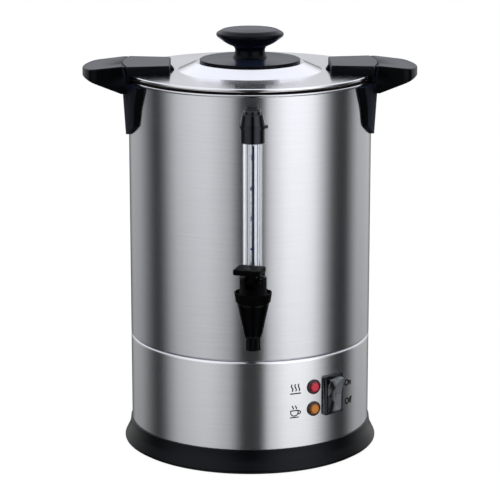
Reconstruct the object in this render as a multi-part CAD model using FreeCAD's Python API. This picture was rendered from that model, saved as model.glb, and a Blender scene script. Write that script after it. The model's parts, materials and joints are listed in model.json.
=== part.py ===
import FreeCAD
import Part
import math
import os

# Coffee urn. Origin on the urn's axis at table level, +Z up, tap towards -Y, handles on +X and -X.
# All sizes are in millimetres and degrees.

# Two places nearer than this count as the same one
close_enough = 0.001

# Gaps and plays shared by the whole assembly
moving_gap = 0.3
bearing_play = 0.05
hole_play = 0.2

# Crossed slots in every screw head
recess_width = 0.9
recess_share = 0.6
recess_depth = 0.8

# Body, made of thin steel sheet
body_radius = 110.0
sheet = 0.8
seam_height = 101.9
seam_corner = 3.0
tank_height = 238.1
rim_bead_radius = 1.3
rim_bead_overhang = 1.5
well_radius = 25.5
well_depth = 13.4
well_corner = 3.0

# Base ring, foot ring and bottom plate
foot_height = 1.5
foot_ring_depth = 3.0
foot_ring_width = 5.8
foot_ring_inset = 5.2
ring_height = 20.2
ring_flare = 8.0
ring_lip = 0.9
ring_waist = 1.7
ring_waist_height = 12.5
ring_waist_bend = 20.0
ring_foot_corner = 2.0
ring_lip_corner = 0.3
ring_skirt = 2.0
ring_flange_inset = 10.0
ring_flange_thickness = 2.5
shell_seat_height = 10.5
shell_flange_width = 9.0
plate_thickness = 1.0
plate_screw_radius = 1.5
plate_screw_head_radius = 2.0
plate_screw_head_height = 1.8
plate_screw_count = 4
plate_screw_start_angle = 20.0
plate_screw_engagement = 2.1
vent_radius = 2.5
vent_circles = (38.0, 54.0)
vents_per_circle = 12

# Tie rods that clamp the tank, the base shell, the base ring and the plate together
tie_count = 3
tie_start_angle = 30.0
tie_inset = 22.0
tie_radius = 2.0
tie_foot_radius = 5.0
tie_foot_height = 1.2
frame_nut_flats = 7.0
frame_nut_height = 3.2

# Heaters, thermostats and terminal block under the tank
main_heater_radius = 23.0
main_heater_thickness = 3.0
main_coil_radius = 15.0
main_coil_wire = 3.5
heater_blade_width = 6.3
heater_blade_thickness = 0.8
heater_blade_length = 9.0
ring_heater_width = 17.0
ring_heater_gap = 10.0
ring_heater_thickness = 3.0
clamp_width = 14.0
clamp_sheet = 1.5
clamp_stud_gap = 8.0
clamp_stud_length = 10.5
clamp_end = 7.0
clamp_clearance = 10.2
thermostat_inset = 28.0
thermostat_angle = 213.0
cutout_angle = 327.0
thermostat_radius = 10.0
thermostat_height = 7.0
thermostat_neck_radius = 6.0
thermostat_neck_height = 4.0
block_length = 34.0
block_width = 16.0
block_height = 14.0
block_place_x = -38.0
block_place_y = 28.0
block_ways = 3
block_way_spacing = 10.0
block_terminal_radius = 2.2
block_terminal_height = 3.0

# Rocker switch on the front right of the base
switch_azimuth = 41.2
switch_height = 64.0
bezel_width = 22.2
bezel_height = 36.0
bezel_proud = 2.6
bezel_corner = 1.2
switch_body_width = 18.6
switch_body_height = 33.6
switch_body_depth = 20.0
rocker_width = 15.5
rocker_reach = 14.8
rocker_crown = 3.8
rocker_slant = 6.0
rocker_pin_radius = 1.5
rocker_pin_length = 1.2
rocker_keel_radius = 3.4
rocker_keel_depth = 4.5
rocker_skirt_angle = -6.0
pocket_depth = 9.0
pocket_side_gap = 0.3
switch_blade_length = 8.0
switch_blade_spacing = 11.0

# Pilot lamps beside the switch
lamp_azimuth = 30.1
heating_lamp_height = 74.2
warm_lamp_height = 53.9
lamp_radius = 6.75
lamp_rim = 1.4
lamp_dome = 1.6
lamp_neck_radius = 4.8
lamp_neck_length = 7.0
lamp_body_radius = 6.6
lamp_body_length = 15.0
lamp_leg_radius = 0.8
lamp_leg_length = 5.0
lamp_leg_spacing = 4.0

# Appliance inlet at the back, for a plug with three flat contacts
inlet_height = 50.0
inlet_flange_width = 50.0
inlet_flange_height = 26.0
inlet_flange_proud = 3.6
inlet_corner = 4.0
inlet_body_width = 28.6
inlet_body_height = 21.0
inlet_body_depth = 24.0
socket_width = 24.4
socket_height = 16.8
socket_depth = 17.0
socket_chamfer = 4.5
socket_wall = 1.0
inlet_pin_width = 4.0
inlet_pin_thickness = 2.0
inlet_pin_length = 14.0
inlet_pin_side = 7.0
inlet_pin_side_drop = 2.0
inlet_pin_earth_rise = 2.0
inlet_tail_length = 8.0
inlet_screw_spacing = 40.0
inlet_screw_radius = 1.6
inlet_screw_head_radius = 3.0
inlet_screw_head_height = 1.6
inlet_screw_length = 9.0
inlet_nut_flats = 6.0
inlet_nut_height = 2.4

# Wiring inside the base
wire_radius = 1.2
wire_bend = 7.0
wire_run = 21.0

# Side handles
grip_length = 41.3
grip_half_width = 36.0
grip_tip_half_width = 31.0
grip_tip_radius = 55.0
grip_corner = 10.0
grip_top_rise = 12.5
grip_top_fall = 4.0
grip_tip_thickness = 7.0
grip_root_drop = 12.0
grip_edge = 1.6
grip_wall = 3.5
grip_pocket_start = 8.0
grip_pocket_end = 8.8
grip_pocket_root_side = 7.0
grip_pocket_tip_side = 10.5
leg_foot_drop = 53.0
leg_half_angle_top = 31.5
leg_half_angle_mid = 26.4
leg_half_angle_low = 24.5
leg_mid_drop = 20.0
leg_low_drop = 40.0
leg_bottom_radius = 80.0
leg_bottom_corner = 8.0
leg_side_bend = 32.0
leg_thickness_top = 5.1
leg_thickness_foot = 2.6
leg_edge = 1.0
handle_fit = 0.25
seam_offset = 5.75
seam_gap = 0.5
ear_skirt_drop = 2.0
handle_screw_spacing = 28.0
handle_screw_drop = 10.5
handle_screw_radius = 2.0
handle_screw_head_radius = 4.5
handle_screw_head_height = 2.4
handle_screw_engagement = 4.4
handle_seal_radius = 5.6
handle_seal_thickness = 1.4
lug_half_angle = 3.0
lug_height = 3.0
lug_reach = 2.2
lug_rise = 1.5

# Lid pan, ears and gasket
lid_gap = 1.3
lid_edge_height = 3.7
lid_edge_overhang = 1.6
lid_edge_corner = 1.4
lid_slope_width = 16.0
lid_slope_rise = 7.2
lid_slope_corner = 2.0
lid_skirt_clearance = 1.7
lid_skirt_depth = 9.5
gasket_lip = 0.7
gasket_proud = 0.6
ear_length = 43.5
ear_slope_gap = 7.0
ear_inner_half_width = 28.5
ear_outer_half_width = 35.5
ear_corner = 3.0
ear_edge = 1.6
ear_skirt_thickness = 3.4
ear_tab_length = 3.6
ear_tab_top_length = 1.2
ear_tab_half_width = 5.0
ear_tab_height = 3.4
ear_screw_inset = 14.0
ear_screw_spacing = 34.0
ear_screw_radius = 1.8
ear_screw_head_radius = 3.6
ear_screw_head_height = 1.8
ear_screw_engagement = 4.5
lid_turn = 12.0
lug_slot_margin = 1.0

# Lid knob
knob_plate_margin = 3.5
knob_plate_thickness = 2.5
knob_plate_edge = 0.8
knob_plate_rise = 1.0
knob_foot_radius = 16.0
knob_neck_radius = 13.5
knob_neck_low = 4.6
knob_neck_high = 11.0
knob_neck_low_bend = 10.0
knob_neck_high_bend = 4.5
knob_belly_radius = 22.0
knob_belly_height = 14.6
knob_belly_bend = 30.0
knob_lip_radius = 29.8
knob_lip_height = 20.6
knob_lip_bend = 4.0
knob_radius = 31.0
knob_rim_height = 23.2
knob_rim_bend = 1.9
knob_face_radius = 25.0
knob_face_height = 26.7
knob_face_bend = 8.0
knob_crest_radius = 12.5
knob_crest_bend = 90.0
knob_height = 28.3
knob_screw_radius = 2.5
knob_screw_head_radius = 5.0
knob_screw_head_height = 2.2
knob_screw_engagement = 14.0

# Percolator parts inside the tank
stem_radius = 4.0
stem_bore = 2.8
stem_top_drop = 12.0
stem_foot_radius = 22.0
stem_foot_thickness = 1.2
stem_foot_lift = 8.0
stem_collar_radius = 7.5
stem_collar_height = 2.0
stem_port_radius = 1.4
stem_port_circle = 16.0
stem_port_count = 4
basket_clearance = 24.2
basket_depth = 60.0
basket_top_drop = 27.5
basket_hub_wall = 1.2
basket_hole_radius = 1.5
basket_hole_first = 22.0
basket_hole_margin = 12.0
basket_hole_spacing = 12.0
basket_rim = 2.0
basket_sheet = 0.8
spreader_lip = 4.0
spreader_hole_first = 28.0
spreader_hole_step = 18.0
spreader_hole_margin = 18.0
spreader_hole_spacing = 22.0
spreader_hole_radius = 2.0

# Tap: shank through the tank wall, body, bonnet, valve and lever
shank_rise = 58.1
shank_radius = 8.0
shank_bore = 4.5
shank_flange_radius = 13.0
shank_flange_thickness = 3.0
shank_seal_thickness = 2.0
shank_seal_radius = 13.0
shank_inner_seal_radius = 12.5
shank_nut_flats = 22.0
shank_nut_height = 6.0
shank_thread_end = 1.5
gauge_reach = 14.0
tee_radius = 11.3
tee_drop = 10.0
socket_rise = 29.5
socket_floor_rise = 14.5
tap_reach = 30.0
coupling_reach = 14.0
coupling_radius = 8.5
coupling_spigot_radius = 6.8
coupling_spigot_length = 3.0
spout_bottom_drop = 34.0
spout_radius = 6.8
spout_bore = 5.0
spout_length = 10.6
cone_foot_radius = 7.4
cone_top_radius = 14.2
cone_top_rise = 8.6
collar_radius = 12.0
collar_top_rise = 13.0
chamber_radius = 8.5
valve_seat_drop = 6.5
nut_foot_radius = 15.0
nut_top_radius = 16.2
nut_top_rise = 16.8
nut_dish = 1.8
nut_dish_wall = 1.2
nut_flute_count = 14
nut_flute_radius = 1.3
nut_flute_out = 0.4
neck_radius = 11.6
neck_top_rise = 29.5
spring_chamber_radius = 6.2
spring_chamber_rise = 17.5
slot_floor_rise = 21.0
slot_width = 8.2
slot_back = 6.0
cup_radius = 7.0
cup_height = 4.7
cup_skirt = 1.2
cup_hollow = 1.5
valve_stem_radius = 2.5
valve_neck_radius = 1.9
valve_collar_radius = 5.2
valve_collar_height = 1.5
valve_collar_rise = 2.0
valve_head_radius = 3.6
valve_head_height = 2.0
valve_head_clearance = 0.9
spring_coil_radius = 4.1
spring_wire_radius = 0.45
spring_turns = 5
lever_yaw = -18.0
pivot_forward = 7.0
pivot_rise = 27.0
lever_pin_radius = 1.2
lever_hub_radius = 3.0
lever_web_width = 7.4
lever_web_back = 3.0
prong_gap = 4.8
prong_height = 3.5
prong_reach = 7.5
paddle_width = 24.0
paddle_front = 22.0
paddle_back = 0.0
paddle_bottom_rise = 8.7
paddle_thickness = 4.8
paddle_corner = 3.0
paddle_edge = 1.2

# Sight gauge
tube_radius = 8.5
tube_bore = 4.0
tube_top_drop = 28.5
tube_seal_floor = 2.0
tube_seal_wall = 1.0
tube_seal_drop = 1.5
cap_radius = 10.7
cap_overlap = 10.5
cap_straight = 15.3
cap_taper = 9.6
cap_top_radius = 9.1
cap_corner = 0.8
cap_vent_radius = 3.4
cap_plug_radius = 7.0
cap_plug_height = 2.9
cap_plug_depth = 8.0
clip_rise = 12.5
clip_height = 2.6
clip_wall = 0.9
clip_lug = 1.6
clip_lug_width = 3.0
clip_strap_width = 8.0
clip_leaf_width = 12.0
clip_leaf_length = 15.0
clip_screw_drop = 10.0
clip_screw_radius = 1.8
clip_screw_head_radius = 3.2
clip_screw_head_height = 1.4
clip_nut_flats = 6.5
clip_nut_height = 2.4

# Heights and radii worked out from the sizes above
ring_bottom = foot_height
ring_top = ring_bottom + ring_height
shell_bottom = ring_bottom + shell_seat_height
flange_bottom = shell_bottom - ring_flange_thickness
plate_bottom = flange_bottom - plate_thickness
seam_z = ring_bottom + seam_height
floor_top = seam_z + sheet
rim_top = seam_z + tank_height
bead_z = rim_top - rim_bead_radius
well_bottom = seam_z - well_depth
inner_radius = body_radius - sheet
bead_outer_radius = body_radius + rim_bead_overhang
bead_clear_radius = bead_outer_radius + moving_gap
ring_inner_radius = body_radius + hole_play
ring_foot_radius = body_radius + ring_flare
ring_flange_inner_radius = body_radius - ring_flange_inset
ring_skirt_inner = ring_foot_radius - foot_ring_inset - foot_ring_width - ring_skirt
plate_radius = ring_skirt_inner - hole_play
tie_circle = body_radius - tie_inset
thermostat_circle = body_radius - thermostat_inset
ring_heater_outer = thermostat_circle - thermostat_radius - ring_heater_gap
ring_heater_inner = ring_heater_outer - ring_heater_width
clamp_stud_place = ring_heater_outer + clamp_stud_gap
lid_edge_bottom = rim_top + lid_gap
lid_top = lid_edge_bottom + lid_edge_height
lid_crown = lid_top + lid_slope_rise
lid_edge_radius = body_radius + lid_edge_overhang
lid_skirt_radius = inner_radius - lid_skirt_clearance
grip_reach = body_radius + grip_length
seam_radius = body_radius + seam_offset
ear_top = rim_top + grip_top_rise
ear_radius = seam_radius - 0.5 * seam_gap
ear_inner_end = ear_radius - ear_length
ear_screw_place = ear_inner_end + ear_screw_inset
lid_slope_outer_radius = ear_inner_end - ear_slope_gap
lid_slope_inner_radius = lid_slope_outer_radius - lid_slope_width
knob_plate_radius = lid_slope_inner_radius - knob_plate_margin
grip_inner_radius = seam_radius + 0.5 * seam_gap
ear_skirt_bottom = rim_top - ear_skirt_drop
lug_bottom = rim_top + lug_rise
lug_top = lug_bottom + lug_height
shank_z = seam_z + shank_rise
tap_seat_z = shank_z - valve_seat_drop
pivot_z = shank_z + pivot_rise
socket_top = shank_z + socket_rise
socket_floor = shank_z + socket_floor_rise
tube_bottom = socket_floor + tube_seal_floor
tube_top = rim_top - tube_top_drop
cap_bottom = tube_top - cap_overlap
cap_top = cap_bottom + cap_straight + cap_taper
clip_bottom = cap_bottom + clip_rise
gauge_place = body_radius + gauge_reach
coupling_place = gauge_place + coupling_reach
tap_place = gauge_place + tap_reach
basket_radius = inner_radius - basket_clearance
basket_top = rim_top - basket_top_drop
basket_bottom = basket_top - basket_depth
stem_foot_z = well_bottom + sheet + moving_gap
stem_top = rim_top - stem_top_drop
heater_top = well_bottom
switch_z = ring_bottom + switch_height
inlet_z = ring_bottom + inlet_height

up = FreeCAD.Vector(0, 0, 1)
across = FreeCAD.Vector(1, 0, 0)
inward = FreeCAD.Vector(0, 1, 0)
outward = FreeCAD.Vector(0, -1, 0)
centre = FreeCAD.Vector(0, 0, 0)
far = 2 * rim_top


def point(x, y, z):
    return FreeCAD.Vector(x, y, z)


def rounded_face(corners):
    # Each corner is (u, v) or (u, v, rounding), and the face lies in the XY plane.
    count = len(corners)
    places = [point(corner[0], corner[1], 0) for corner in corners]
    edges = []
    starts = []
    ends = []
    for index in range(count):
        corner = places[index]
        rounding = corners[index][2] if len(corners[index]) > 2 else 0
        if rounding == 0:
            starts.append(corner)
            ends.append(corner)
            continue
        back = (places[index - 1] - corner).normalize()
        ahead = (places[(index + 1) % count] - corner).normalize()
        half = back.getAngle(ahead) / 2
        reach = rounding / math.tan(half)
        middle = corner + (back + ahead).normalize() * (rounding / math.sin(half) - rounding)
        starts.append(corner + back * reach)
        ends.append(corner + ahead * reach)
        edges.append(Part.Arc(starts[-1], middle, ends[-1]).toShape())
    for index in range(count):
        start = ends[index]
        end = starts[(index + 1) % count]
        if start.distanceToPoint(end) > close_enough:
            edges.append(Part.makeLine(start, end))
    return Part.Face(Part.Wire(Part.__sortEdges__(edges)))


def turned(corners):
    # The corners are (radius, height), turned about the Z axis.
    face = rounded_face(corners)
    face.rotate(centre, across, 90)
    return face.revolve(centre, up, 360)


def slab(corners, low, high):
    face = rounded_face(corners)
    face.translate(point(0, 0, low))
    return face.extrude(point(0, 0, high - low))


def side_slab(corners, low, high):
    # The corners are (y, z), and the slab runs along X.
    face = rounded_face(corners)
    face.rotate(centre, point(1, 1, 1), 120)
    face.translate(point(low, 0, 0))
    return face.extrude(point(high - low, 0, 0))


def front_slab(corners, low, high):
    # The corners are (x, z), and the slab runs along Y.
    face = rounded_face(corners)
    face.rotate(centre, across, 90)
    face.translate(point(0, low, 0))
    return face.extrude(point(0, high - low, 0))


def block(low_x, high_x, low_y, high_y, low_z, high_z):
    size = (high_x - low_x, high_y - low_y, high_z - low_z)
    return Part.makeBox(size[0], size[1], size[2], point(low_x, low_y, low_z))


def drum(radius, low, high, x=0.0, y=0.0):
    return Part.makeCylinder(radius, high - low, point(x, y, low))


def tube(outer, inner, low, high, x=0.0, y=0.0):
    return drum(outer, low, high, x, y).cut(drum(inner, low, high, x, y))


def rod(radius, start, direction, length):
    return Part.makeCylinder(radius, length, start, direction)


def corner_reach(flats):
    # From the middle of a hexagon to its corner, from the width across its flats.
    return flats / math.sqrt(3)


def hexagon(flats, low, high, x=0.0, y=0.0):
    corner = corner_reach(flats)
    angles = [math.radians(60 * turn + 30) for turn in range(6)]
    return slab([(x + corner * math.cos(a), y + corner * math.sin(a)) for a in angles], low, high)


def lying_hexagon(flats, start, direction, length):
    # A hexagonal prism whose axis lies along direction.
    prism = hexagon(flats, 0, length)
    turn = FreeCAD.Rotation(up, direction)
    prism.Placement = FreeCAD.Placement(start, turn)
    return prism


def sector(inner, outer, low, high, first, last):
    wedge = Part.makeCylinder(outer, high - low, point(0, 0, low), up, last - first)
    wedge.rotate(centre, up, first)
    return wedge.cut(drum(inner, low, high))


def turned_copy(shape, angle):
    copy = shape.copy()
    copy.rotate(centre, up, angle)
    return copy


def moved(shape, x, y, z=0.0):
    copy = shape.copy()
    copy.translate(point(x, y, z))
    return copy


def joined(shapes):
    whole = shapes[0]
    for shape in shapes[1:]:
        whole = whole.fuse(shape)
    return whole.removeSplitter()


def group(shapes):
    return Part.makeCompound(shapes)


def edges_where(shape, wanted):
    return [edge for edge in shape.Edges if wanted(edge)]


def headed_screw(shank_radius, head_radius, head_height, seat, direction, length):
    # A screw whose head sits on its seat, with crossed slots for the driver, and whose shank runs on.
    face = seat - direction * head_height
    reach = recess_share * head_radius
    half = recess_width / 2
    slots = block(-reach, reach, -half, half, 0, recess_depth)
    slots = slots.fuse(block(-half, half, -reach, reach, 0, recess_depth))
    slots.Placement = FreeCAD.Placement(face, FreeCAD.Rotation(up, direction))
    head = rod(head_radius, face, direction, head_height)
    shank = rod(shank_radius, seat, direction, length)
    return joined([head, shank]).cut(slots)


def on_circle(radius, count, start=0.0):
    turns = [math.radians(start + 360.0 * index / count) for index in range(count)]
    return [(radius * math.cos(turn), radius * math.sin(turn)) for turn in turns]


def hole_grid(first, step, last, spacing, radius, low, high):
    # Round holes on circles about the axis, at an even spacing along each circle.
    holes = []
    circle = first
    while circle <= last:
        count = int(2 * math.pi * circle / spacing)
        holes += [drum(radius, low, high, x, y) for x, y in on_circle(circle, count)]
        circle += step
    return group(holes)


def bent_wire(points, bend, radius):
    # A round wire on straight runs joined by tangent arcs.
    edges = []
    start = points[0]
    for index in range(1, len(points) - 1):
        corner = points[index]
        back = (points[index - 1] - corner).normalize()
        ahead = (points[index + 1] - corner).normalize()
        half = back.getAngle(ahead) / 2
        reach = bend / math.tan(half)
        middle = corner + (back + ahead).normalize() * (bend / math.sin(half) - bend)
        edges.append(Part.makeLine(start, corner + back * reach))
        edges.append(Part.Arc(corner + back * reach, middle, corner + ahead * reach).toShape())
        start = corner + ahead * reach
    edges.append(Part.makeLine(start, points[-1]))
    path = Part.Wire(edges)
    direction = (points[1] - points[0]).normalize()
    section = Part.Wire(Part.makeCircle(radius, points[0], direction))
    return path.makePipeShell([section], True, False)


# Tank with its central well, rolled rim and welded studs


def tank():
    outer = turned([
        (0, well_bottom), (well_radius + sheet, well_bottom, well_corner + sheet),
        (well_radius + sheet, seam_z), (body_radius, seam_z, seam_corner),
        (body_radius, bead_z), (0, bead_z)])
    inner = turned([
        (0, well_bottom + sheet), (well_radius, well_bottom + sheet, well_corner),
        (well_radius, floor_top), (inner_radius, floor_top, seam_corner - sheet),
        (inner_radius, rim_top), (0, rim_top)])
    bead = Part.makeTorus(bead_outer_radius - rim_bead_radius, rim_bead_radius, point(0, 0, bead_z))
    shape = outer.cut(inner).fuse(bead)
    shape = shape.cut(rod(shank_radius + hole_play, point(0, 0, shank_z), outward, far))
    for side in (1, -1):
        for y, z in handle_screw_places():
            hole = rod(handle_screw_radius + hole_play, point(0, y, z), point(side, 0, 0), far)
            shape = shape.cut(hole)
    clip_hole = rod(clip_screw_radius + hole_play, point(0, 0, clip_screw_z()), outward, far)
    shape = shape.cut(clip_hole)
    for x in (clamp_stud_place, -clamp_stud_place):
        shape = shape.fuse(drum(tie_radius, seam_z - clamp_stud_length, seam_z, x, 0))
    return shape.removeSplitter()


def handle_screw_places():
    z = rim_top - handle_screw_drop
    return [(handle_screw_spacing / 2, z), (-handle_screw_spacing / 2, z)]


def clip_screw_z():
    return clip_bottom + clip_height - clip_screw_drop


# Base shell, base ring, foot ring, bottom plate and their fasteners


def base_shell():
    shape = turned([
        (inner_radius, shell_bottom), (body_radius, shell_bottom),
        (body_radius, seam_z, seam_corner), (body_radius - shell_flange_width, seam_z),
        (body_radius - shell_flange_width, seam_z - sheet),
        (inner_radius, seam_z - sheet, seam_corner - sheet)])
    half_width = switch_body_width / 2 + hole_play
    half_height = switch_body_height / 2 + hole_play
    cuts = [block(-half_width, half_width, -far, 0, switch_z - half_height, switch_z + half_height)]
    cuts[0].rotate(centre, up, switch_azimuth)
    for height in (heating_lamp_height, warm_lamp_height):
        hole = rod(lamp_neck_radius + hole_play, point(0, 0, ring_bottom + height), outward, far)
        cuts.append(turned_copy(hole, lamp_azimuth))
    half_width = inlet_body_width / 2 + hole_play
    half_height = inlet_body_height / 2 + hole_play
    cuts.append(block(-half_width, half_width, 0, far, inlet_z - half_height, inlet_z + half_height))
    for x in (-inlet_screw_spacing / 2, inlet_screw_spacing / 2):
        cuts.append(rod(inlet_screw_radius + hole_play, point(x, 0, inlet_z), inward, far))
    for cut in cuts:
        shape = shape.cut(cut)
    return shape


def base_ring():
    groove_outer = ring_foot_radius - foot_ring_inset
    groove_inner = groove_outer - foot_ring_width
    groove_top = ring_bottom + foot_ring_depth
    shape = turned([
        (ring_inner_radius, ring_top), (ring_inner_radius + ring_lip, ring_top, ring_lip_corner),
        (ring_inner_radius + ring_waist, ring_bottom + ring_waist_height, ring_waist_bend),
        (ring_foot_radius, ring_bottom, ring_foot_corner),
        (groove_outer, ring_bottom), (groove_outer, groove_top),
        (groove_inner, groove_top), (groove_inner, ring_bottom),
        (ring_skirt_inner, ring_bottom), (ring_skirt_inner, flange_bottom),
        (ring_flange_inner_radius, flange_bottom), (ring_flange_inner_radius, shell_bottom),
        (ring_inner_radius, shell_bottom)])
    for x, y in plate_screw_places():
        shape = shape.cut(drum(plate_screw_radius, flange_bottom, shell_bottom, x, y))
    return shape


def plate_screw_places():
    circle = (ring_flange_inner_radius + ring_skirt_inner) / 2
    return on_circle(circle, plate_screw_count, plate_screw_start_angle)


def foot_ring():
    outer = ring_foot_radius - foot_ring_inset
    return tube(outer, outer - foot_ring_width, 0, ring_bottom + foot_ring_depth)


def bottom_plate():
    shape = drum(plate_radius, plate_bottom, flange_bottom)
    for x, y in plate_screw_places():
        shape = shape.cut(drum(plate_screw_radius + hole_play / 2, plate_bottom, flange_bottom, x, y))
    for x, y in on_circle(tie_circle, tie_count, tie_start_angle):
        shape = shape.cut(drum(tie_radius + hole_play, plate_bottom, flange_bottom, x, y))
    for circle in vent_circles:
        for x, y in on_circle(circle, vents_per_circle):
            shape = shape.cut(drum(vent_radius, plate_bottom, flange_bottom, x, y))
    return shape


def bottom_screws():
    screws = []
    for x, y in plate_screw_places():
        screws.append(headed_screw(
            plate_screw_radius, plate_screw_head_radius, plate_screw_head_height,
            point(x, y, plate_bottom), up, plate_thickness + plate_screw_engagement))
    return group(screws)


def tie_rods():
    rods = []
    for x, y in on_circle(tie_circle, tie_count, tie_start_angle):
        foot = drum(tie_foot_radius, seam_z - tie_foot_height, seam_z, x, y)
        shank = drum(tie_radius, plate_bottom - frame_nut_height, seam_z, x, y)
        rods.append(joined([foot, shank]))
    return group(rods)


def frame_nut(x, y, top):
    low = top - frame_nut_height
    nut = hexagon(frame_nut_flats, low, top, x, y)
    return nut.cut(drum(tie_radius, low, top, x, y))


def frame_nuts():
    # The same nut holds the tie rods under the plate and the clamp on its studs.
    nuts = [frame_nut(x, y, plate_bottom) for x, y in on_circle(tie_circle, tie_count, tie_start_angle)]
    nuts += [frame_nut(x, 0, clamp_wing_z()) for x in (clamp_stud_place, -clamp_stud_place)]
    return group(nuts)


# Heaters and what holds and guards them


def main_heater():
    plate = drum(main_heater_radius, heater_top - main_heater_thickness, heater_top)
    coil_z = main_coil_z()
    coil = Part.makeTorus(main_coil_radius, main_coil_wire, point(0, 0, coil_z))
    coil = coil.cut(block(-far, far, -main_coil_wire, far, coil_z - far, coil_z + far))
    shape = plate.fuse(coil)
    for x in (-main_coil_radius, main_coil_radius):
        end = rod(main_coil_wire, point(x, -main_coil_wire, coil_z), inward, 2 * main_coil_wire)
        blade = heater_blade(x, main_coil_wire, coil_z)
        shape = shape.fuse(end).fuse(blade)
    return shape.removeSplitter()


def main_coil_z():
    return heater_top - main_heater_thickness - main_coil_wire / 2


def heater_blade(x, y, z):
    return block(
        x - heater_blade_width / 2, x + heater_blade_width / 2, y, y + heater_blade_length,
        z - main_coil_wire / 2 - heater_blade_thickness, z - main_coil_wire / 2)


def clamp_bottom_z():
    return main_coil_z() - main_coil_wire - clamp_sheet


def clamp_wing_z():
    return seam_z - ring_heater_thickness - clamp_sheet


def keep_warm_heater():
    shape = tube(ring_heater_outer, ring_heater_inner, seam_z - ring_heater_thickness, seam_z)
    for side in (1, -1):
        x = side * heater_blade_width
        middle = (ring_heater_inner + ring_heater_outer) / 2
        blade = block(
            x - heater_blade_thickness / 2, x + heater_blade_thickness / 2,
            -middle - heater_blade_width / 2, -middle + heater_blade_width / 2,
            seam_z - ring_heater_thickness - heater_blade_length, seam_z - ring_heater_thickness)
        shape = shape.fuse(blade)
    return shape.removeSplitter()


def heater_clamp():
    low = clamp_bottom_z()
    wing = clamp_wing_z()
    upright = well_radius + sheet + clamp_clearance + clamp_sheet
    end = clamp_stud_place + clamp_end
    corners = []
    for side in (1, -1):
        run = [
            (upright - clamp_sheet, low + clamp_sheet), (upright - clamp_sheet, wing + clamp_sheet),
            (end, wing + clamp_sheet), (end, wing), (upright, wing), (upright, low)]
        corners += [(side * x, z) for x, z in (run if side > 0 else reversed(run))]
    shape = front_slab(corners, -clamp_width / 2, clamp_width / 2)
    for x in (clamp_stud_place, -clamp_stud_place):
        shape = shape.cut(drum(tie_radius + hole_play, wing, wing + clamp_sheet, x, 0))
    return shape


def disc_thermostat(angle):
    x = thermostat_circle * math.cos(math.radians(angle))
    y = thermostat_circle * math.sin(math.radians(angle))
    middle = seam_z - thermostat_height
    can = drum(thermostat_radius, middle, seam_z, x, y)
    neck = drum(thermostat_neck_radius, middle - thermostat_neck_height, middle, x, y)
    return joined([can, neck])


def thermostat_foot(angle):
    x = thermostat_circle * math.cos(math.radians(angle))
    y = thermostat_circle * math.sin(math.radians(angle))
    return point(x, y, seam_z - thermostat_height - thermostat_neck_height)


def terminal_block():
    x = block_place_x
    y = block_place_y
    shape = block(
        x - block_length / 2, x + block_length / 2, y - block_width / 2, y + block_width / 2,
        flange_bottom, flange_bottom + block_height)
    for place in block_terminals():
        shape = shape.fuse(drum(
            block_terminal_radius, place.z - block_terminal_height, place.z, place.x, place.y))
    return shape.removeSplitter()


def block_terminals():
    top = flange_bottom + block_height + block_terminal_height
    first = -(block_ways - 1) / 2
    offsets = [(first + way) * block_way_spacing for way in range(block_ways)]
    return [point(block_place_x + offset, block_place_y, top) for offset in offsets]


# Rocker switch. It is made facing -Y at the pivot, then set into the shell.


def rocker_pivot():
    return point(0, -body_radius, switch_z)


def set_in_shell(shape):
    return turned_copy(shape, switch_azimuth)


def bezel_outline(middle_z, half_width, half_height, corner):
    low = middle_z - half_height
    high = middle_z + half_height
    return [
        (-half_width, low, corner), (half_width, low, corner),
        (half_width, high, corner), (-half_width, high, corner)]


def switch_frame():
    half_height = bezel_height / 2
    outline = bezel_outline(switch_z, bezel_width / 2, half_height, bezel_corner)
    plate = front_slab(outline, -body_radius - bezel_proud, -inner_radius)
    plate = plate.cut(drum(body_radius, switch_z - half_height, switch_z + half_height))
    half_width = switch_body_width / 2
    half_height = switch_body_height / 2
    back = -body_radius + switch_body_depth
    housing = block(
        -half_width, half_width, -body_radius - bezel_proud / 2, back,
        switch_z - half_height, switch_z + half_height)
    shape = plate.fuse(housing)
    pocket_half_width = rocker_width / 2 + pocket_side_gap
    pocket_half_height = rocker_sweep() + moving_gap
    pocket = block(
        -pocket_half_width, pocket_half_width, -far, -body_radius + pocket_depth,
        switch_z - pocket_half_height, switch_z + pocket_half_height)
    shape = shape.cut(pocket)
    pivot = rocker_pivot()
    reach = rocker_width / 2 + rocker_pin_length + hole_play
    bearing = rod(rocker_pin_radius + bearing_play, point(-reach, pivot.y, pivot.z), across, 2 * reach)
    return set_in_shell(shape.cut(bearing).removeSplitter())


def rocker_sweep():
    slant = math.radians(rocker_slant)
    end_rise = rocker_crown + rocker_reach * math.tan(slant)
    return math.hypot(rocker_reach, end_rise)


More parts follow.
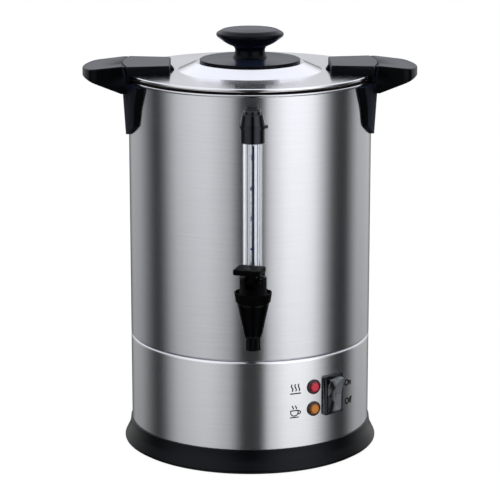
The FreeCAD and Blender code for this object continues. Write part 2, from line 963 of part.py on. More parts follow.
def switch_rocker():
    # Made level about the pivot with a shallow V face, then tilted with its lower end pressed in.
    sweep = rocker_sweep()
    skirt = math.radians(rocker_skirt_angle)
    corner_z = rocker_reach
    corner_y = -math.sqrt(sweep ** 2 - corner_z ** 2)
    low_z = sweep * math.cos(skirt)
    low_y = -sweep * math.sin(skirt)
    middle_angle = (math.atan2(-corner_y, corner_z) + skirt) / 2
    edges = []
    for side in (1, -1):
        arc_start = point(0, corner_y, side * corner_z)
        arc_middle = point(0, -sweep * math.sin(middle_angle), side * sweep * math.cos(middle_angle))
        arc_end = point(0, low_y, side * low_z)
        edges.append(Part.makeLine(point(0, -rocker_crown, 0), arc_start))
        edges.append(Part.Arc(arc_start, arc_middle, arc_end).toShape())
    edges.append(Part.makeLine(point(0, low_y, low_z), point(0, low_y, -low_z)))
    face = Part.Face(Part.Wire(Part.__sortEdges__(edges)))
    face.translate(point(-rocker_width / 2, 0, 0))
    shape = face.extrude(point(rocker_width, 0, 0))
    keel = block(
        -rocker_width / 2, rocker_width / 2, 0, rocker_keel_depth,
        -rocker_keel_radius, rocker_keel_radius)
    reach = rocker_width / 2 + rocker_pin_length
    pins = rod(rocker_pin_radius, point(-reach, 0, 0), across, 2 * reach)
    shape = joined([shape, keel, pins])
    shape.rotate(centre, across, rocker_slant)
    pivot = rocker_pivot()
    shape.translate(pivot)
    return set_in_shell(shape)


def switch_blade_places():
    back = -body_radius + switch_body_depth
    spacing = switch_blade_spacing
    return [point(0, back, switch_z + offset) for offset in (-spacing, 0, spacing)]


def switch_terminals():
    blades = []
    for place in switch_blade_places():
        blade = block(
            -heater_blade_width / 2, heater_blade_width / 2, place.y, place.y + switch_blade_length,
            place.z - heater_blade_thickness / 2, place.z + heater_blade_thickness / 2)
        blades.append(set_in_shell(blade))
    return group(blades)


# Pilot lamps


def lamp_lens(height):
    z = ring_bottom + height
    lens = turned([
        (0, -lamp_neck_length), (lamp_neck_radius, -lamp_neck_length), (lamp_neck_radius, 0),
        (lamp_radius, 0), (lamp_radius, lamp_rim, lamp_rim / 2),
        (lamp_radius - lamp_rim, lamp_rim), (lamp_neck_radius - lamp_rim, lamp_rim + lamp_dome, lamp_dome),
        (0, lamp_rim + lamp_dome)])
    lens.rotate(centre, across, 90)
    lens.translate(point(0, -body_radius, z))
    body = drum(body_radius, z - lamp_radius, z + lamp_radius)
    neck = rod(lamp_neck_radius, point(0, -body_radius + lamp_neck_length, z), outward, lamp_neck_length)
    lens = lens.cut(body).fuse(neck).removeSplitter()
    return turned_copy(lens, lamp_azimuth)


def lamp_body(height):
    z = ring_bottom + height
    start = -inner_radius
    shape = rod(lamp_body_radius, point(0, start - sheet, z), inward, lamp_body_length + sheet)
    shape = shape.common(drum(inner_radius, z - lamp_body_radius, z + lamp_body_radius))
    bore = rod(lamp_neck_radius, point(0, -far, z), inward, far - body_radius + lamp_neck_length)
    shape = shape.cut(bore)
    for x in (-lamp_leg_spacing / 2, lamp_leg_spacing / 2):
        leg = rod(lamp_leg_radius, point(x, start + lamp_body_length, z), inward, lamp_leg_length)
        shape = shape.fuse(leg)
    return turned_copy(shape.removeSplitter(), lamp_azimuth)


# Appliance inlet


def socket_outline(grow):
    half_width = socket_width / 2 + grow
    half_height = socket_height / 2 + grow
    chamfer = socket_chamfer
    return [
        (-half_width, inlet_z - half_height), (half_width, inlet_z - half_height),
        (half_width, inlet_z + half_height - chamfer), (half_width - chamfer, inlet_z + half_height),
        (-half_width + chamfer, inlet_z + half_height), (-half_width, inlet_z + half_height - chamfer)]


def inlet_frame():
    half_height = inlet_flange_height / 2
    front = body_radius + inlet_flange_proud
    outline = bezel_outline(inlet_z, inlet_flange_width / 2, half_height, inlet_corner)
    flange = front_slab(outline, front - 2 * inlet_flange_proud - sheet, front)
    flange = flange.cut(drum(body_radius, inlet_z - half_height, inlet_z + half_height))
    half_width = inlet_body_width / 2
    half_height = inlet_body_height / 2
    housing = block(
        -half_width, half_width, front - inlet_body_depth, front - inlet_flange_proud / 2,
        inlet_z - half_height, inlet_z + half_height)
    shape = flange.fuse(housing)
    shape = shape.cut(front_slab(socket_outline(socket_wall), front - socket_depth - socket_wall, front))
    for x in (-inlet_screw_spacing / 2, inlet_screw_spacing / 2):
        shape = shape.cut(rod(inlet_screw_radius + hole_play / 2, point(x, 0, inlet_z), inward, front))
    for place in inlet_pin_places():
        shape = shape.cut(inlet_pin(place))
    return shape.removeSplitter()


def inlet_socket():
    front = body_radius + inlet_flange_proud
    back = front - socket_depth - socket_wall
    shape = front_slab(socket_outline(socket_wall), back, front)
    shape = shape.cut(front_slab(socket_outline(0), back + socket_wall, front))
    for place in inlet_pin_places():
        shape = shape.cut(inlet_pin(place))
    return shape


def inlet_pin_places():
    return [
        (-inlet_pin_side, inlet_z - inlet_pin_side_drop),
        (inlet_pin_side, inlet_z - inlet_pin_side_drop),
        (0, inlet_z + inlet_pin_earth_rise)]


def inlet_pin(place):
    x, z = place
    front = body_radius + inlet_flange_proud
    floor = front - socket_depth
    tail = front - inlet_body_depth - inlet_tail_length
    return block(
        x - inlet_pin_thickness / 2, x + inlet_pin_thickness / 2, tail, floor + inlet_pin_length,
        z - inlet_pin_width / 2, z + inlet_pin_width / 2)


def inlet_pins():
    return group([inlet_pin(place) for place in inlet_pin_places()])


def inlet_screws():
    front = body_radius + inlet_flange_proud
    screws = []
    for x in (-inlet_screw_spacing / 2, inlet_screw_spacing / 2):
        screws.append(headed_screw(
            inlet_screw_radius, inlet_screw_head_radius, inlet_screw_head_height,
            point(x, front, inlet_z), outward, inlet_screw_length + inlet_nut_height))
    return group(screws)


def inlet_nuts():
    nuts = []
    for x in (-inlet_screw_spacing / 2, inlet_screw_spacing / 2):
        wall = math.sqrt(inner_radius ** 2 - (abs(x) + corner_reach(inlet_nut_flats)) ** 2)
        face = point(x, wall - inlet_nut_height, inlet_z)
        nut = lying_hexagon(inlet_nut_flats, face, inward, inlet_nut_height)
        nuts.append(nut.cut(rod(inlet_screw_radius, point(x, 0, inlet_z), inward, far)))
    return group(nuts)


# Side handle. The right one is made on +X, and the left one is the same piece turned half round.


def side_handle():
    grip = grip_solid()
    leg = leg_solid()
    shape = grip.fuse(leg).removeSplitter()
    lug = sector(
        grip_inner_radius - lug_reach, grip_inner_radius + sheet, lug_bottom, lug_top,
        -lug_half_angle, lug_half_angle)
    shape = shape.fuse(lug)
    for y, z in handle_screw_places():
        shape = shape.cut(rod(handle_screw_radius, point(0, y, z), across, handle_screw_tip()))
    return shape.removeSplitter()


def handle_screw_tip():
    return body_radius + handle_fit + handle_screw_engagement


def grip_solid():
    plan = slab([
        (inner_radius / 2, -grip_half_width), (grip_reach, -grip_tip_half_width),
        (grip_reach, grip_tip_half_width), (inner_radius / 2, grip_half_width)],
        0, far + rim_top)
    tip = drum(grip_tip_radius, 0, far + rim_top, grip_reach - grip_tip_radius, 0)
    plan = plan.common(tip.fuse(block(
        0, grip_reach - grip_tip_radius, -grip_half_width, grip_half_width, 0, far + rim_top)))
    plan = plan.removeSplitter()
    corners = edges_where(plan, lambda edge: is_upright(edge) and edge.CenterOfMass.x > ear_radius)
    plan = plan.makeFillet(grip_corner, corners)
    root_z = rim_top - grip_root_drop
    tip_top = ear_top - grip_top_fall
    leg_outer = body_radius + handle_fit + leg_thickness_top
    side = front_slab([
        (ear_inner_end, root_z), (leg_outer, root_z),
        (grip_reach, tip_top - grip_tip_thickness), (grip_reach, tip_top),
        (seam_radius, ear_top), (ear_inner_end, ear_top)], -far, far)
    shape = plan.common(side)
    shape = shape.cut(drum(bead_clear_radius, 0, far + rim_top))
    shape = shape.cut(drum(grip_inner_radius, ear_skirt_bottom - moving_gap, far + rim_top))
    shape = shape.removeSplitter()
    rim = edges_where(shape, lambda edge: is_top_rim(edge) or is_tip_underside(edge))
    shape = shape.makeFillet(grip_edge, rim)
    return shape.cut(grip_pocket())


def is_upright(edge):
    box = edge.BoundBox
    return box.ZLength > close_enough > max(box.XLength, box.YLength)


def is_top_rim(edge):
    middle = edge.CenterOfMass
    outside = math.hypot(middle.x, middle.y) > grip_inner_radius + grip_edge
    box = edge.BoundBox
    return outside and box.ZMin > ear_top - grip_top_fall - grip_edge


def is_tip_underside(edge):
    middle = edge.CenterOfMass
    box = edge.BoundBox
    low = ear_top - grip_top_fall - grip_tip_thickness
    at_tip = middle.x > grip_reach - grip_corner
    return at_tip and abs(middle.z - low) < grip_edge and box.ZLength < grip_edge


def grip_pocket():
    # The hollow under the grip.
    start = body_radius + handle_fit + leg_thickness_top + grip_pocket_start
    end = grip_reach - grip_pocket_end
    half_start = grip_half_width - grip_pocket_root_side
    half_end = grip_tip_half_width - grip_pocket_tip_side
    top = ear_top - grip_top_fall - grip_wall
    return slab([
        (start, -half_start, grip_wall), (end, -half_end, grip_wall),
        (end, half_end, grip_wall), (start, half_start, grip_wall)], 0, top)


def leg_solid():
    inner = body_radius + handle_fit
    foot_z = rim_top - leg_foot_drop
    saddle_top = bead_z - rim_bead_radius - moving_gap
    skirt_z = ear_skirt_bottom - moving_gap
    root_z = rim_top - grip_root_drop
    band = turned([
        (inner, foot_z), (inner + leg_thickness_foot, foot_z, leg_edge),
        (inner + leg_thickness_top, root_z), (inner + leg_thickness_top, skirt_z),
        (bead_clear_radius, skirt_z), (bead_clear_radius, saddle_top), (inner, saddle_top)])
    drops = (0, leg_mid_drop, leg_low_drop)
    angles = (leg_half_angle_top, leg_half_angle_mid, leg_half_angle_low)
    rounding = (0, leg_side_bend, 0)
    side = []
    for drop, angle, blend in zip(drops, angles, rounding):
        side.append((body_radius * math.sin(math.radians(angle)), saddle_top - drop, blend))
    foot_half = side[-1][0]
    sagitta = leg_bottom_radius - math.sqrt(leg_bottom_radius ** 2 - foot_half ** 2)
    side[-1] = (foot_half, foot_z + sagitta, leg_bottom_corner)
    outline = side + [(0, foot_z + sagitta - foot_half)] + [(-y, z, r) for y, z, r in reversed(side)]
    tongue = side_slab(outline, 0, far)
    round_foot = rod(leg_bottom_radius, point(0, 0, foot_z + leg_bottom_radius), across, far)
    above = block(0, far, -far, far, foot_z + sagitta, far + rim_top)
    return band.common(tongue).common(round_foot.fuse(above)).removeSplitter()


def handle_right():
    return side_handle()


def handle_left():
    return turned_copy(side_handle(), 180)


def handle_seals():
    seals = []
    wall = drum(inner_radius, 0, rim_top)
    for side in (1, -1):
        for y, z in handle_screw_places():
            start = point(side * seal_face(), y, z)
            disc = rod(handle_seal_radius, start, point(side, 0, 0), far)
            disc = disc.common(wall)
            seals.append(disc.cut(rod(handle_screw_radius, start, point(side, 0, 0), far)))
    return group(seals)


def seal_face():
    outer_edge = handle_screw_spacing / 2 + handle_seal_radius
    return math.sqrt(inner_radius ** 2 - outer_edge ** 2) - handle_seal_thickness / 2


def handle_screws():
    screws = []
    for side in (1, -1):
        for y, z in handle_screw_places():
            screws.append(headed_screw(
                handle_screw_radius, handle_screw_head_radius, handle_screw_head_height,
                point(side * seal_face(), y, z), point(side, 0, 0), handle_screw_tip() - seal_face()))
    return group(screws)


# Lid pan, gasket and ears


def lid_pan():
    edge_inner = lid_edge_radius - sheet
    under = lid_top - sheet
    shape = turned([
        (0, lid_crown - sheet), (lid_slope_inner_radius, lid_crown - sheet, lid_slope_corner),
        (lid_slope_outer_radius, under, lid_slope_corner),
        (edge_inner, under, lid_edge_corner - sheet), (edge_inner, lid_edge_bottom),
        (lid_edge_radius, lid_edge_bottom), (lid_edge_radius, lid_top, lid_edge_corner),
        (lid_slope_outer_radius, lid_top, lid_slope_corner),
        (lid_slope_inner_radius, lid_crown, lid_slope_corner), (0, lid_crown)])
    skirt = tube(lid_skirt_radius, lid_skirt_radius - sheet, under - lid_skirt_depth + sheet, under)
    shape = shape.fuse(skirt)
    shape = shape.cut(drum(knob_screw_radius + hole_play, lid_top, lid_crown))
    for x, y in ear_screw_places():
        shape = shape.cut(drum(ear_screw_radius + hole_play, under, lid_top, x, y))
    return shape.removeSplitter()


def lid_seal():
    lip_top = lid_edge_bottom - moving_gap
    lip_bottom = lip_top - gasket_lip
    inner = lid_skirt_radius + moving_gap
    outer = lid_edge_radius - sheet - moving_gap
    top = lid_top - sheet - moving_gap - (lid_edge_corner - sheet)
    lip_outer = lid_edge_radius - gasket_proud
    return turned([
        (inner, lip_bottom), (lip_outer, lip_bottom), (lip_outer, lip_top),
        (outer, lip_top), (outer, top), (inner, top)])


def ear_screw_places():
    half = ear_screw_spacing / 2
    return [(x, y) for x in (ear_screw_place, -ear_screw_place) for y in (half, -half)]


def lid_ear():
    plan = slab([
        (ear_inner_end, -ear_inner_half_width, ear_corner), (ear_radius, -ear_outer_half_width),
        (ear_radius, ear_outer_half_width), (ear_inner_end, ear_inner_half_width, ear_corner)],
        0, far)
    upper = plan.common(drum(ear_radius, lid_top, ear_top))
    skirt = plan.common(tube(ear_radius, ear_radius - ear_skirt_thickness, ear_skirt_bottom, lid_top))
    shape = upper.fuse(skirt).removeSplitter()
    rim = edges_where(shape, is_ear_top_edge)
    shape = shape.makeFillet(ear_edge, rim)
    tab = front_slab([
        (ear_inner_end - ear_tab_length, lid_top), (ear_inner_end + ear_corner, lid_top),
        (ear_inner_end + ear_corner, lid_top + ear_tab_height),
        (ear_inner_end - ear_tab_top_length, lid_top + ear_tab_height)],
        -ear_tab_half_width, ear_tab_half_width)
    shape = shape.fuse(tab)
    slot = lug_half_angle + lug_slot_margin
    groove_low = lug_bottom - moving_gap
    groove_high = lug_top + moving_gap
    groove_depth = ear_radius - lug_reach - moving_gap
    groove = sector(groove_depth, far, groove_low, groove_high, -slot - lid_turn, slot)
    entry = sector(groove_depth, far, 0, groove_high, -slot, slot)
    shape = shape.cut(groove).cut(entry)
    for x, y in ear_screw_places():
        shape = shape.cut(drum(ear_screw_radius, lid_top, lid_top + ear_screw_engagement, x, y))
    return shape.removeSplitter()


def is_ear_top_edge(edge):
    # The whole top outline, except the seam edge that faces the handle.
    box = edge.BoundBox
    middle = edge.CenterOfMass
    flat_top = box.ZLength < close_enough and abs(middle.z - ear_top) < close_enough
    return flat_top and not edge.Curve.TypeId.endswith("GeomCircle") or is_small_arc(edge)


def is_small_arc(edge):
    circle = edge.Curve.TypeId.endswith("GeomCircle")
    middle = edge.CenterOfMass
    return circle and edge.Curve.Radius < 2 * ear_corner and abs(middle.z - ear_top) < close_enough


def lid_ear_right():
    return lid_ear()


def lid_ear_left():
    return turned_copy(lid_ear(), 180)


def ear_screws():
    screws = []
    under = lid_top - sheet
    for x, y in ear_screw_places():
        screws.append(headed_screw(
            ear_screw_radius, ear_screw_head_radius, ear_screw_head_height,
            point(x, y, under), up, sheet + ear_screw_engagement))
    return group(screws)


# Lid knob


def knob_base():
    low = lid_crown
    plate_top = low + knob_plate_thickness
    shape = turned([
        (0, low), (knob_plate_radius, low, knob_plate_edge),
        (knob_plate_radius, plate_top, knob_plate_edge), (knob_foot_radius, plate_top + knob_plate_rise),
        (0, plate_top + knob_plate_rise)])
    return shape.cut(drum(knob_screw_radius, low, low + far))


def knob_bottom():
    return lid_crown + knob_plate_thickness + knob_plate_rise


def lid_knob():
    low = knob_bottom()
    base = lid_crown + knob_plate_thickness
    shape = turned([
        (0, low), (knob_foot_radius, low),
        (knob_neck_radius, base + knob_neck_low, knob_neck_low_bend),
        (knob_neck_radius, base + knob_neck_high, knob_neck_high_bend),
        (knob_belly_radius, base + knob_belly_height, knob_belly_bend),
        (knob_lip_radius, base + knob_lip_height, knob_lip_bend),
        (knob_radius, base + knob_rim_height, knob_rim_bend),
        (knob_face_radius, base + knob_face_height, knob_face_bend),
        (knob_crest_radius, base + knob_height, knob_crest_bend), (0, base + knob_height)])
    return shape.cut(drum(knob_screw_radius, low, low + knob_screw_engagement))


def knob_screw():
    under = lid_crown - sheet
    return headed_screw(
        knob_screw_radius, knob_screw_head_radius, knob_screw_head_height,
        point(0, 0, under), up, knob_bottom() + knob_screw_engagement - under)


# Pump stem, coffee basket and spreader


def stem_collar_z():
    return basket_bottom - moving_gap - stem_collar_height


def pump_stem():
    foot_top = stem_foot_z + stem_foot_lift
    bell = turned([
        (stem_foot_radius - stem_foot_thickness, stem_foot_z), (stem_foot_radius, stem_foot_z),
        (stem_foot_radius, stem_foot_z + stem_foot_thickness), (stem_radius, foot_top),
        (stem_bore, foot_top), (stem_bore, foot_top - stem_foot_thickness)])
    pipe = tube(stem_radius, stem_bore, foot_top - stem_foot_thickness, stem_top)
    collar = tube(stem_collar_radius, stem_radius, stem_collar_z(), stem_collar_z() + stem_collar_height)
    shape = joined([bell, pipe, collar])
    port_z = (foot_top + stem_foot_z) / 2
    for x, y in on_circle(stem_port_circle, stem_port_count):
        shape = shape.cut(drum(stem_port_radius, stem_foot_z, port_z + stem_foot_lift, x, y))
    return shape


def hub_radius():
    return stem_radius + moving_gap


def coffee_basket():
    low = basket_bottom
    hub_inner = hub_radius()
    hub_outer = hub_inner + basket_hub_wall
    floor = low + basket_sheet
    wall = basket_radius - basket_sheet
    shape = turned([
        (hub_inner, low), (basket_radius, low, seam_corner), (basket_radius, basket_top - basket_rim),
        (basket_radius + basket_rim, basket_top - basket_rim), (basket_radius + basket_rim, basket_top),
        (wall, basket_top), (wall, floor, seam_corner - basket_sheet), (hub_outer, floor),
        (hub_outer, basket_top - basket_rim), (hub_inner, basket_top - basket_rim)])
    last = basket_radius - basket_hole_margin
    holes = hole_grid(
        basket_hole_first, basket_hole_spacing, last, basket_hole_spacing, basket_hole_radius, low, floor)
    return shape.cut(holes)


def basket_spreader():
    low = basket_top + moving_gap
    top = low + basket_sheet
    outer = basket_radius + basket_rim
    lip = basket_radius - basket_sheet - moving_gap
    shape = turned([
        (hub_radius(), low), (lip - basket_sheet, low), (lip - basket_sheet, low - spreader_lip),
        (lip, low - spreader_lip), (lip, low), (outer, low), (outer, top), (hub_radius(), top)])
    last = basket_radius - spreader_hole_margin
    holes = hole_grid(
        spreader_hole_first, spreader_hole_step, last, spreader_hole_spacing, spreader_hole_radius, low, top)
    return shape.cut(holes)


# Tap shank with the gauge socket, its seals and nut


def tap_shank():
    flange_back = body_radius + shank_seal_thickness
    flange_front = flange_back + shank_flange_thickness
    inner_end = shank_inner_end()
    axis = point(0, -inner_end, shank_z)
    pipe = rod(shank_radius, axis, outward, coupling_place - inner_end)
    flange = rod(shank_flange_radius, point(0, -flange_back, shank_z), outward, flange_front - flange_back)
    arm = rod(coupling_radius, point(0, -flange_back, shank_z), outward, coupling_place - flange_back)
    tee = drum(tee_radius, shank_z - tee_drop, socket_top, 0, -gauge_place)
    spigot = rod(coupling_spigot_radius, point(0, -coupling_place, shank_z), outward, coupling_spigot_length)
    shape = joined([pipe, flange, arm, tee, spigot])
    shape = shape.cut(rod(shank_bore, axis, outward, far))
    shape = shape.cut(drum(tube_bore, shank_z, socket_floor, 0, -gauge_place))
    shape = shape.cut(drum(tube_radius + tube_seal_wall, socket_floor, socket_top, 0, -gauge_place))
    return shape.removeSplitter()


def shank_inner_end():
    return nut_inner_face() - shank_thread_end


def inner_seal_face():
    return math.sqrt(inner_radius ** 2 - shank_inner_seal_radius ** 2) - shank_seal_thickness / 2


def nut_inner_face():
    return inner_seal_face() - shank_nut_height


def shank_outer_seal():
    start = point(0, -body_radius - shank_seal_thickness, shank_z)
    disc = rod(shank_seal_radius, start, inward, shank_seal_thickness + sheet)
    disc = disc.cut(drum(body_radius, shank_z - far, shank_z + far))
    return disc.cut(rod(shank_radius, start, inward, far))


def shank_inner_seal():
    start = point(0, -inner_seal_face(), shank_z)
    disc = rod(shank_inner_seal_radius, start, outward, shank_seal_thickness + sheet)
    disc = disc.common(drum(inner_radius, shank_z - far, shank_z + far))
    return disc.cut(rod(shank_radius, start, outward, far))


def shank_nut():
    start = point(0, -nut_inner_face(), shank_z)
    nut = lying_hexagon(shank_nut_flats, start, outward, shank_nut_height)
    return nut.cut(rod(shank_radius, start, outward, far))


# Tap. It is made on the Z axis and then moved out to its place.


def at_tap(shape):
    return moved(shape, 0, -tap_place)


def yawed_at_tap(shape):
    return at_tap(turned_copy(shape, lever_yaw))


def tap_body():
    bottom = shank_z - spout_bottom_drop
    spout_top = bottom + spout_length
    cone_top = shank_z + cone_top_rise
    collar_top = shank_z + collar_top_rise
    shape = turned([
        (0, bottom), (spout_radius, bottom), (spout_radius, spout_top), (cone_foot_radius, spout_top),
        (cone_top_radius, cone_top), (collar_radius, cone_top), (collar_radius, collar_top), (0, collar_top)])
    arm_length = tap_place - coupling_place
    arm = rod(coupling_radius, point(0, 0, shank_z), inward, arm_length)
    shape = shape.fuse(arm)
    shape = shape.cut(drum(chamber_radius, tap_seat_z, collar_top))
    shape = shape.cut(drum(spout_bore, bottom, tap_seat_z))
    shape = shape.cut(rod(shank_bore, point(0, 0, shank_z), inward, arm_length))
    pocket_start = point(0, arm_length - coupling_spigot_length, shank_z)
    shape = shape.cut(rod(coupling_spigot_radius, pocket_start, inward, coupling_spigot_length))
    return at_tap(shape.removeSplitter())


def tap_bonnet():
    nut_bottom = shank_z + cone_top_rise + hole_play
    nut_top = shank_z + nut_top_rise
    dish = nut_top - nut_dish
    roof = shank_z + collar_top_rise + hole_play
    neck_top = shank_z + neck_top_rise
    shape = turned([
        (0, roof), (collar_radius, roof), (collar_radius, nut_bottom),
        (nut_foot_radius, nut_bottom), (nut_top_radius, nut_top), (nut_top_radius - nut_dish_wall, nut_top),
        (nut_top_radius - nut_dish_wall - nut_dish / 2, dish), (neck_radius, dish),
        (neck_radius, neck_top), (0, neck_top)])
    for x, y in on_circle(nut_top_radius + nut_flute_out, nut_flute_count):
        shape = shape.cut(drum(nut_flute_radius, nut_bottom, nut_top, x, y))
    shape = shape.cut(drum(spring_chamber_radius, roof, shank_z + spring_chamber_rise))
    shape = shape.cut(drum(valve_stem_radius + bearing_play, roof, neck_top))
    slot_floor = shank_z + slot_floor_rise
    shape = shape.cut(block(-slot_width / 2, slot_width / 2, -far, slot_back, slot_floor, neck_top))
    pin_hole = rod(lever_pin_radius, point(-far, -pivot_forward, pivot_z), across, 2 * far)
    return yawed_at_tap(shape.cut(pin_hole).removeSplitter())


def lever_pin():
    half = math.sqrt(neck_radius ** 2 - pivot_forward ** 2)
    pin = rod(lever_pin_radius, point(-half, -pivot_forward, pivot_z), across, 2 * half)
    return yawed_at_tap(pin)


def collar_z():
    return shank_z + valve_collar_rise


def seat_cup():
    low = tap_seat_z + moving_gap
    top = low + cup_height
    shape = turned([
        (0, low + cup_hollow), (cup_radius - cup_skirt, low + cup_hollow), (cup_radius - cup_skirt, low),
        (cup_radius, low), (cup_radius, top), (0, top)])
    return at_tap(shape.cut(drum(valve_stem_radius, top - cup_height / 2, top)))


def tap_stem():
    low = tap_seat_z + moving_gap + cup_height / 2
    guide_top = shank_z + slot_floor_rise
    head_low = pivot_z + valve_head_clearance
    parts = [
        drum(valve_stem_radius, low, guide_top),
        drum(valve_collar_radius, collar_z(), collar_z() + valve_collar_height),
        drum(valve_neck_radius, guide_top, head_low),
        drum(valve_head_radius, head_low, head_low + valve_head_height)]
    return at_tap(joined(parts))


def spring_low():
    return collar_z() + valve_collar_height


def spring_high():
    return shank_z + spring_chamber_rise


def tap_spring():
    low = spring_low() + spring_wire_radius
    high = spring_high() - spring_wire_radius
    pitch = (high - low) / spring_turns
    helix = Part.makeHelix(pitch, high - low, spring_coil_radius)
    start = point(spring_coil_radius, 0, 0)
    rise = math.atan2(pitch, 2 * math.pi * spring_coil_radius)
    direction = point(0, math.cos(rise), math.sin(rise))
    section = Part.Wire(Part.makeCircle(spring_wire_radius, start, direction))
    coil = Part.Wire(helix.Edges).makePipeShell([section], True, True)
    return moved(coil, 0, -tap_place, low)


def tap_lever():
    # Made about the pivot, with the front towards -Y.
    half = lever_web_width / 2
    hub = rod(lever_hub_radius, point(-half, 0, 0), across, lever_web_width)
    web = block(-half, half, -lever_hub_radius, lever_web_back, 0, paddle_bottom_rise + paddle_edge)
    side = paddle_width / 2
    front = -(paddle_front - pivot_forward)
    back = paddle_back + pivot_forward
    paddle = slab([
        (-side, front, paddle_corner), (side, front, paddle_corner),
        (side, back, paddle_corner), (-side, back, paddle_corner)],
        paddle_bottom_rise, paddle_bottom_rise + paddle_thickness)
    flat_edges = edges_where(paddle, lambda edge: edge.BoundBox.ZLength < close_enough)
    paddle = paddle.makeFillet(paddle_edge, flat_edges)
    shape = joined([hub, web, paddle])
    for side in (1, -1):
        inner = side * prong_gap / 2
        outer = side * half
        prong = block(
            min(inner, outer), max(inner, outer), 0, prong_reach, -prong_height, 0)
        shape = shape.fuse(prong)
    shape = shape.cut(block(-prong_gap / 2, prong_gap / 2, lever_web_back, far, -far, 0))
    shape = shape.cut(rod(lever_pin_radius + bearing_play, point(-half, 0, 0), across, lever_web_width))
    shape = moved(shape.removeSplitter(), 0, -pivot_forward, pivot_z)
    return yawed_at_tap(shape)


# Sight gauge


def at_gauge(shape):
    return moved(shape, 0, -gauge_place)


def gauge_tube():
    return at_gauge(tube(tube_radius, tube_bore, tube_bottom, tube_top))


def gauge_lower_seal():
    outer = tube_radius + tube_seal_wall
    top = socket_top - tube_seal_drop
    return at_gauge(turned([
        (tube_bore, socket_floor), (outer, socket_floor), (outer, top),
        (tube_radius, top), (tube_radius, tube_bottom), (tube_bore, tube_bottom)]))


def gauge_cap():
    straight_top = cap_bottom + cap_straight
    shape = turned([
        (tube_radius, cap_bottom), (cap_radius, cap_bottom, cap_corner / 2), (cap_radius, straight_top),
        (cap_top_radius, cap_top, cap_corner), (cap_vent_radius, cap_top), (cap_vent_radius, tube_top),
        (tube_radius, tube_top)])
    return at_gauge(shape)


def gauge_plug():
    shape = turned([
        (0, cap_top - cap_plug_depth), (cap_vent_radius, cap_top - cap_plug_depth),
        (cap_vent_radius, cap_top), (cap_plug_radius, cap_top),
        (cap_plug_radius, cap_top + cap_plug_height, cap_corner), (0, cap_top + cap_plug_height)])
    return at_gauge(shape)


def gauge_clip():
    top = clip_bottom + clip_height
    ring = at_gauge(tube(cap_radius + clip_wall, cap_radius, clip_bottom, top))
    reach = cap_radius + clip_wall + clip_lug
    lug = at_gauge(block(0, reach, -clip_lug_width / 2, clip_lug_width / 2, clip_bottom, top))
    lug = lug.cut(at_gauge(drum(cap_radius, clip_bottom, top)))
    strap = block(
        -clip_strap_width / 2, clip_strap_width / 2, -gauge_place, -inner_radius, clip_bottom, top)
    strap = strap.cut(at_gauge(drum(cap_radius, clip_bottom, top)))
    leaf_front = body_radius + clip_wall
    leaf = block(
        -clip_leaf_width / 2, clip_leaf_width / 2, -leaf_front, -inner_radius, top - clip_leaf_length, top)
    shape = joined([ring, lug, strap, leaf])
    shape = shape.cut(drum(body_radius, top - clip_leaf_length, top))
    hole = rod(clip_screw_radius + hole_play, point(0, 0, clip_screw_z()), outward, leaf_front)
    return shape.cut(hole)


def gauge_clip_screw():
    z = clip_screw_z()
    leaf_front = body_radius + clip_wall
    end = inner_radius - sheet - clip_nut_height
    return headed_screw(
        clip_screw_radius, clip_screw_head_radius, clip_screw_head_height,
        point(0, -leaf_front, z), inward, leaf_front - end)


def gauge_clip_nut():
    z = clip_screw_z()
    face = math.sqrt(inner_radius ** 2 - corner_reach(clip_nut_flats) ** 2)
    nut = lying_hexagon(clip_nut_flats, point(0, -face + clip_nut_height, z), outward, clip_nut_height)
    return nut.cut(rod(clip_screw_radius, point(0, 0, z), outward, far))


# Wiring inside the base, from terminal to terminal


def behind_switch(place, depth):
    spot = point(place.x, place.y + depth, place.z)
    return FreeCAD.Rotation(up, switch_azimuth).multVec(spot)


def internal_wiring():
    tail_y = body_radius + inlet_flange_proud - inlet_body_depth - inlet_tail_length
    tails = [point(x, tail_y, z) for x, z in inlet_pin_places()]
    terminals = block_terminals()
    order = (0, 2, 1)
    paths = []
    for tail, way in zip(tails, order):
        terminal = terminals[way]
        paths.append([
            tail, point(tail.x, tail.y - wire_run, tail.z), point(terminal.x, terminal.y, tail.z), terminal])
    low_blade, middle_blade, high_blade = switch_blade_places()
    block_front = block_place_y - block_width / 2
    side_z = flange_bottom + block_height / 2
    for terminal, blade in ((terminals[0], low_blade), (terminals[2], high_blade)):
        start = point(terminal.x, block_front, side_z)
        turn = point(terminal.x, block_front - wire_run, side_z)
        end = behind_switch(blade, switch_blade_length)
        paths.append([start, turn, behind_switch(blade, switch_blade_length + wire_run), end])
    blade_end = main_coil_wire + heater_blade_length
    blade_z = main_coil_z() - main_coil_wire / 2 - heater_blade_thickness / 2
    block_back = block_place_y + block_width / 2
    paths.append([
        point(-main_coil_radius, blade_end, blade_z),
        point(-main_coil_radius, block_back + wire_run, blade_z),
        point(terminals[1].x, block_back + wire_run, side_z), point(terminals[1].x, block_back, side_z)])
    cutout = thermostat_foot(cutout_angle)
    drop = point(0, 0, -wire_run)
    level = cutout.z - wire_run
    paths.append([
        point(main_coil_radius, blade_end, blade_z), point(main_coil_radius, blade_end + wire_run, blade_z),
        point(cutout.x, blade_end + wire_run, level), point(cutout.x, cutout.y, level), cutout])
    ring_middle = -(ring_heater_inner + ring_heater_outer) / 2
    ring_blade_z = seam_z - ring_heater_thickness - heater_blade_length
    left = point(-heater_blade_width, ring_middle, ring_blade_z)
    right = point(heater_blade_width, ring_middle, ring_blade_z)
    boil = thermostat_foot(thermostat_angle)
    paths.append([left, left + drop, boil + drop, boil])
    paths.append([
        right, right + drop, behind_switch(middle_blade, switch_blade_length + wire_run),
        behind_switch(middle_blade, switch_blade_length)])
    return group([bent_wire(path, wire_bend, wire_radius) for path in paths])


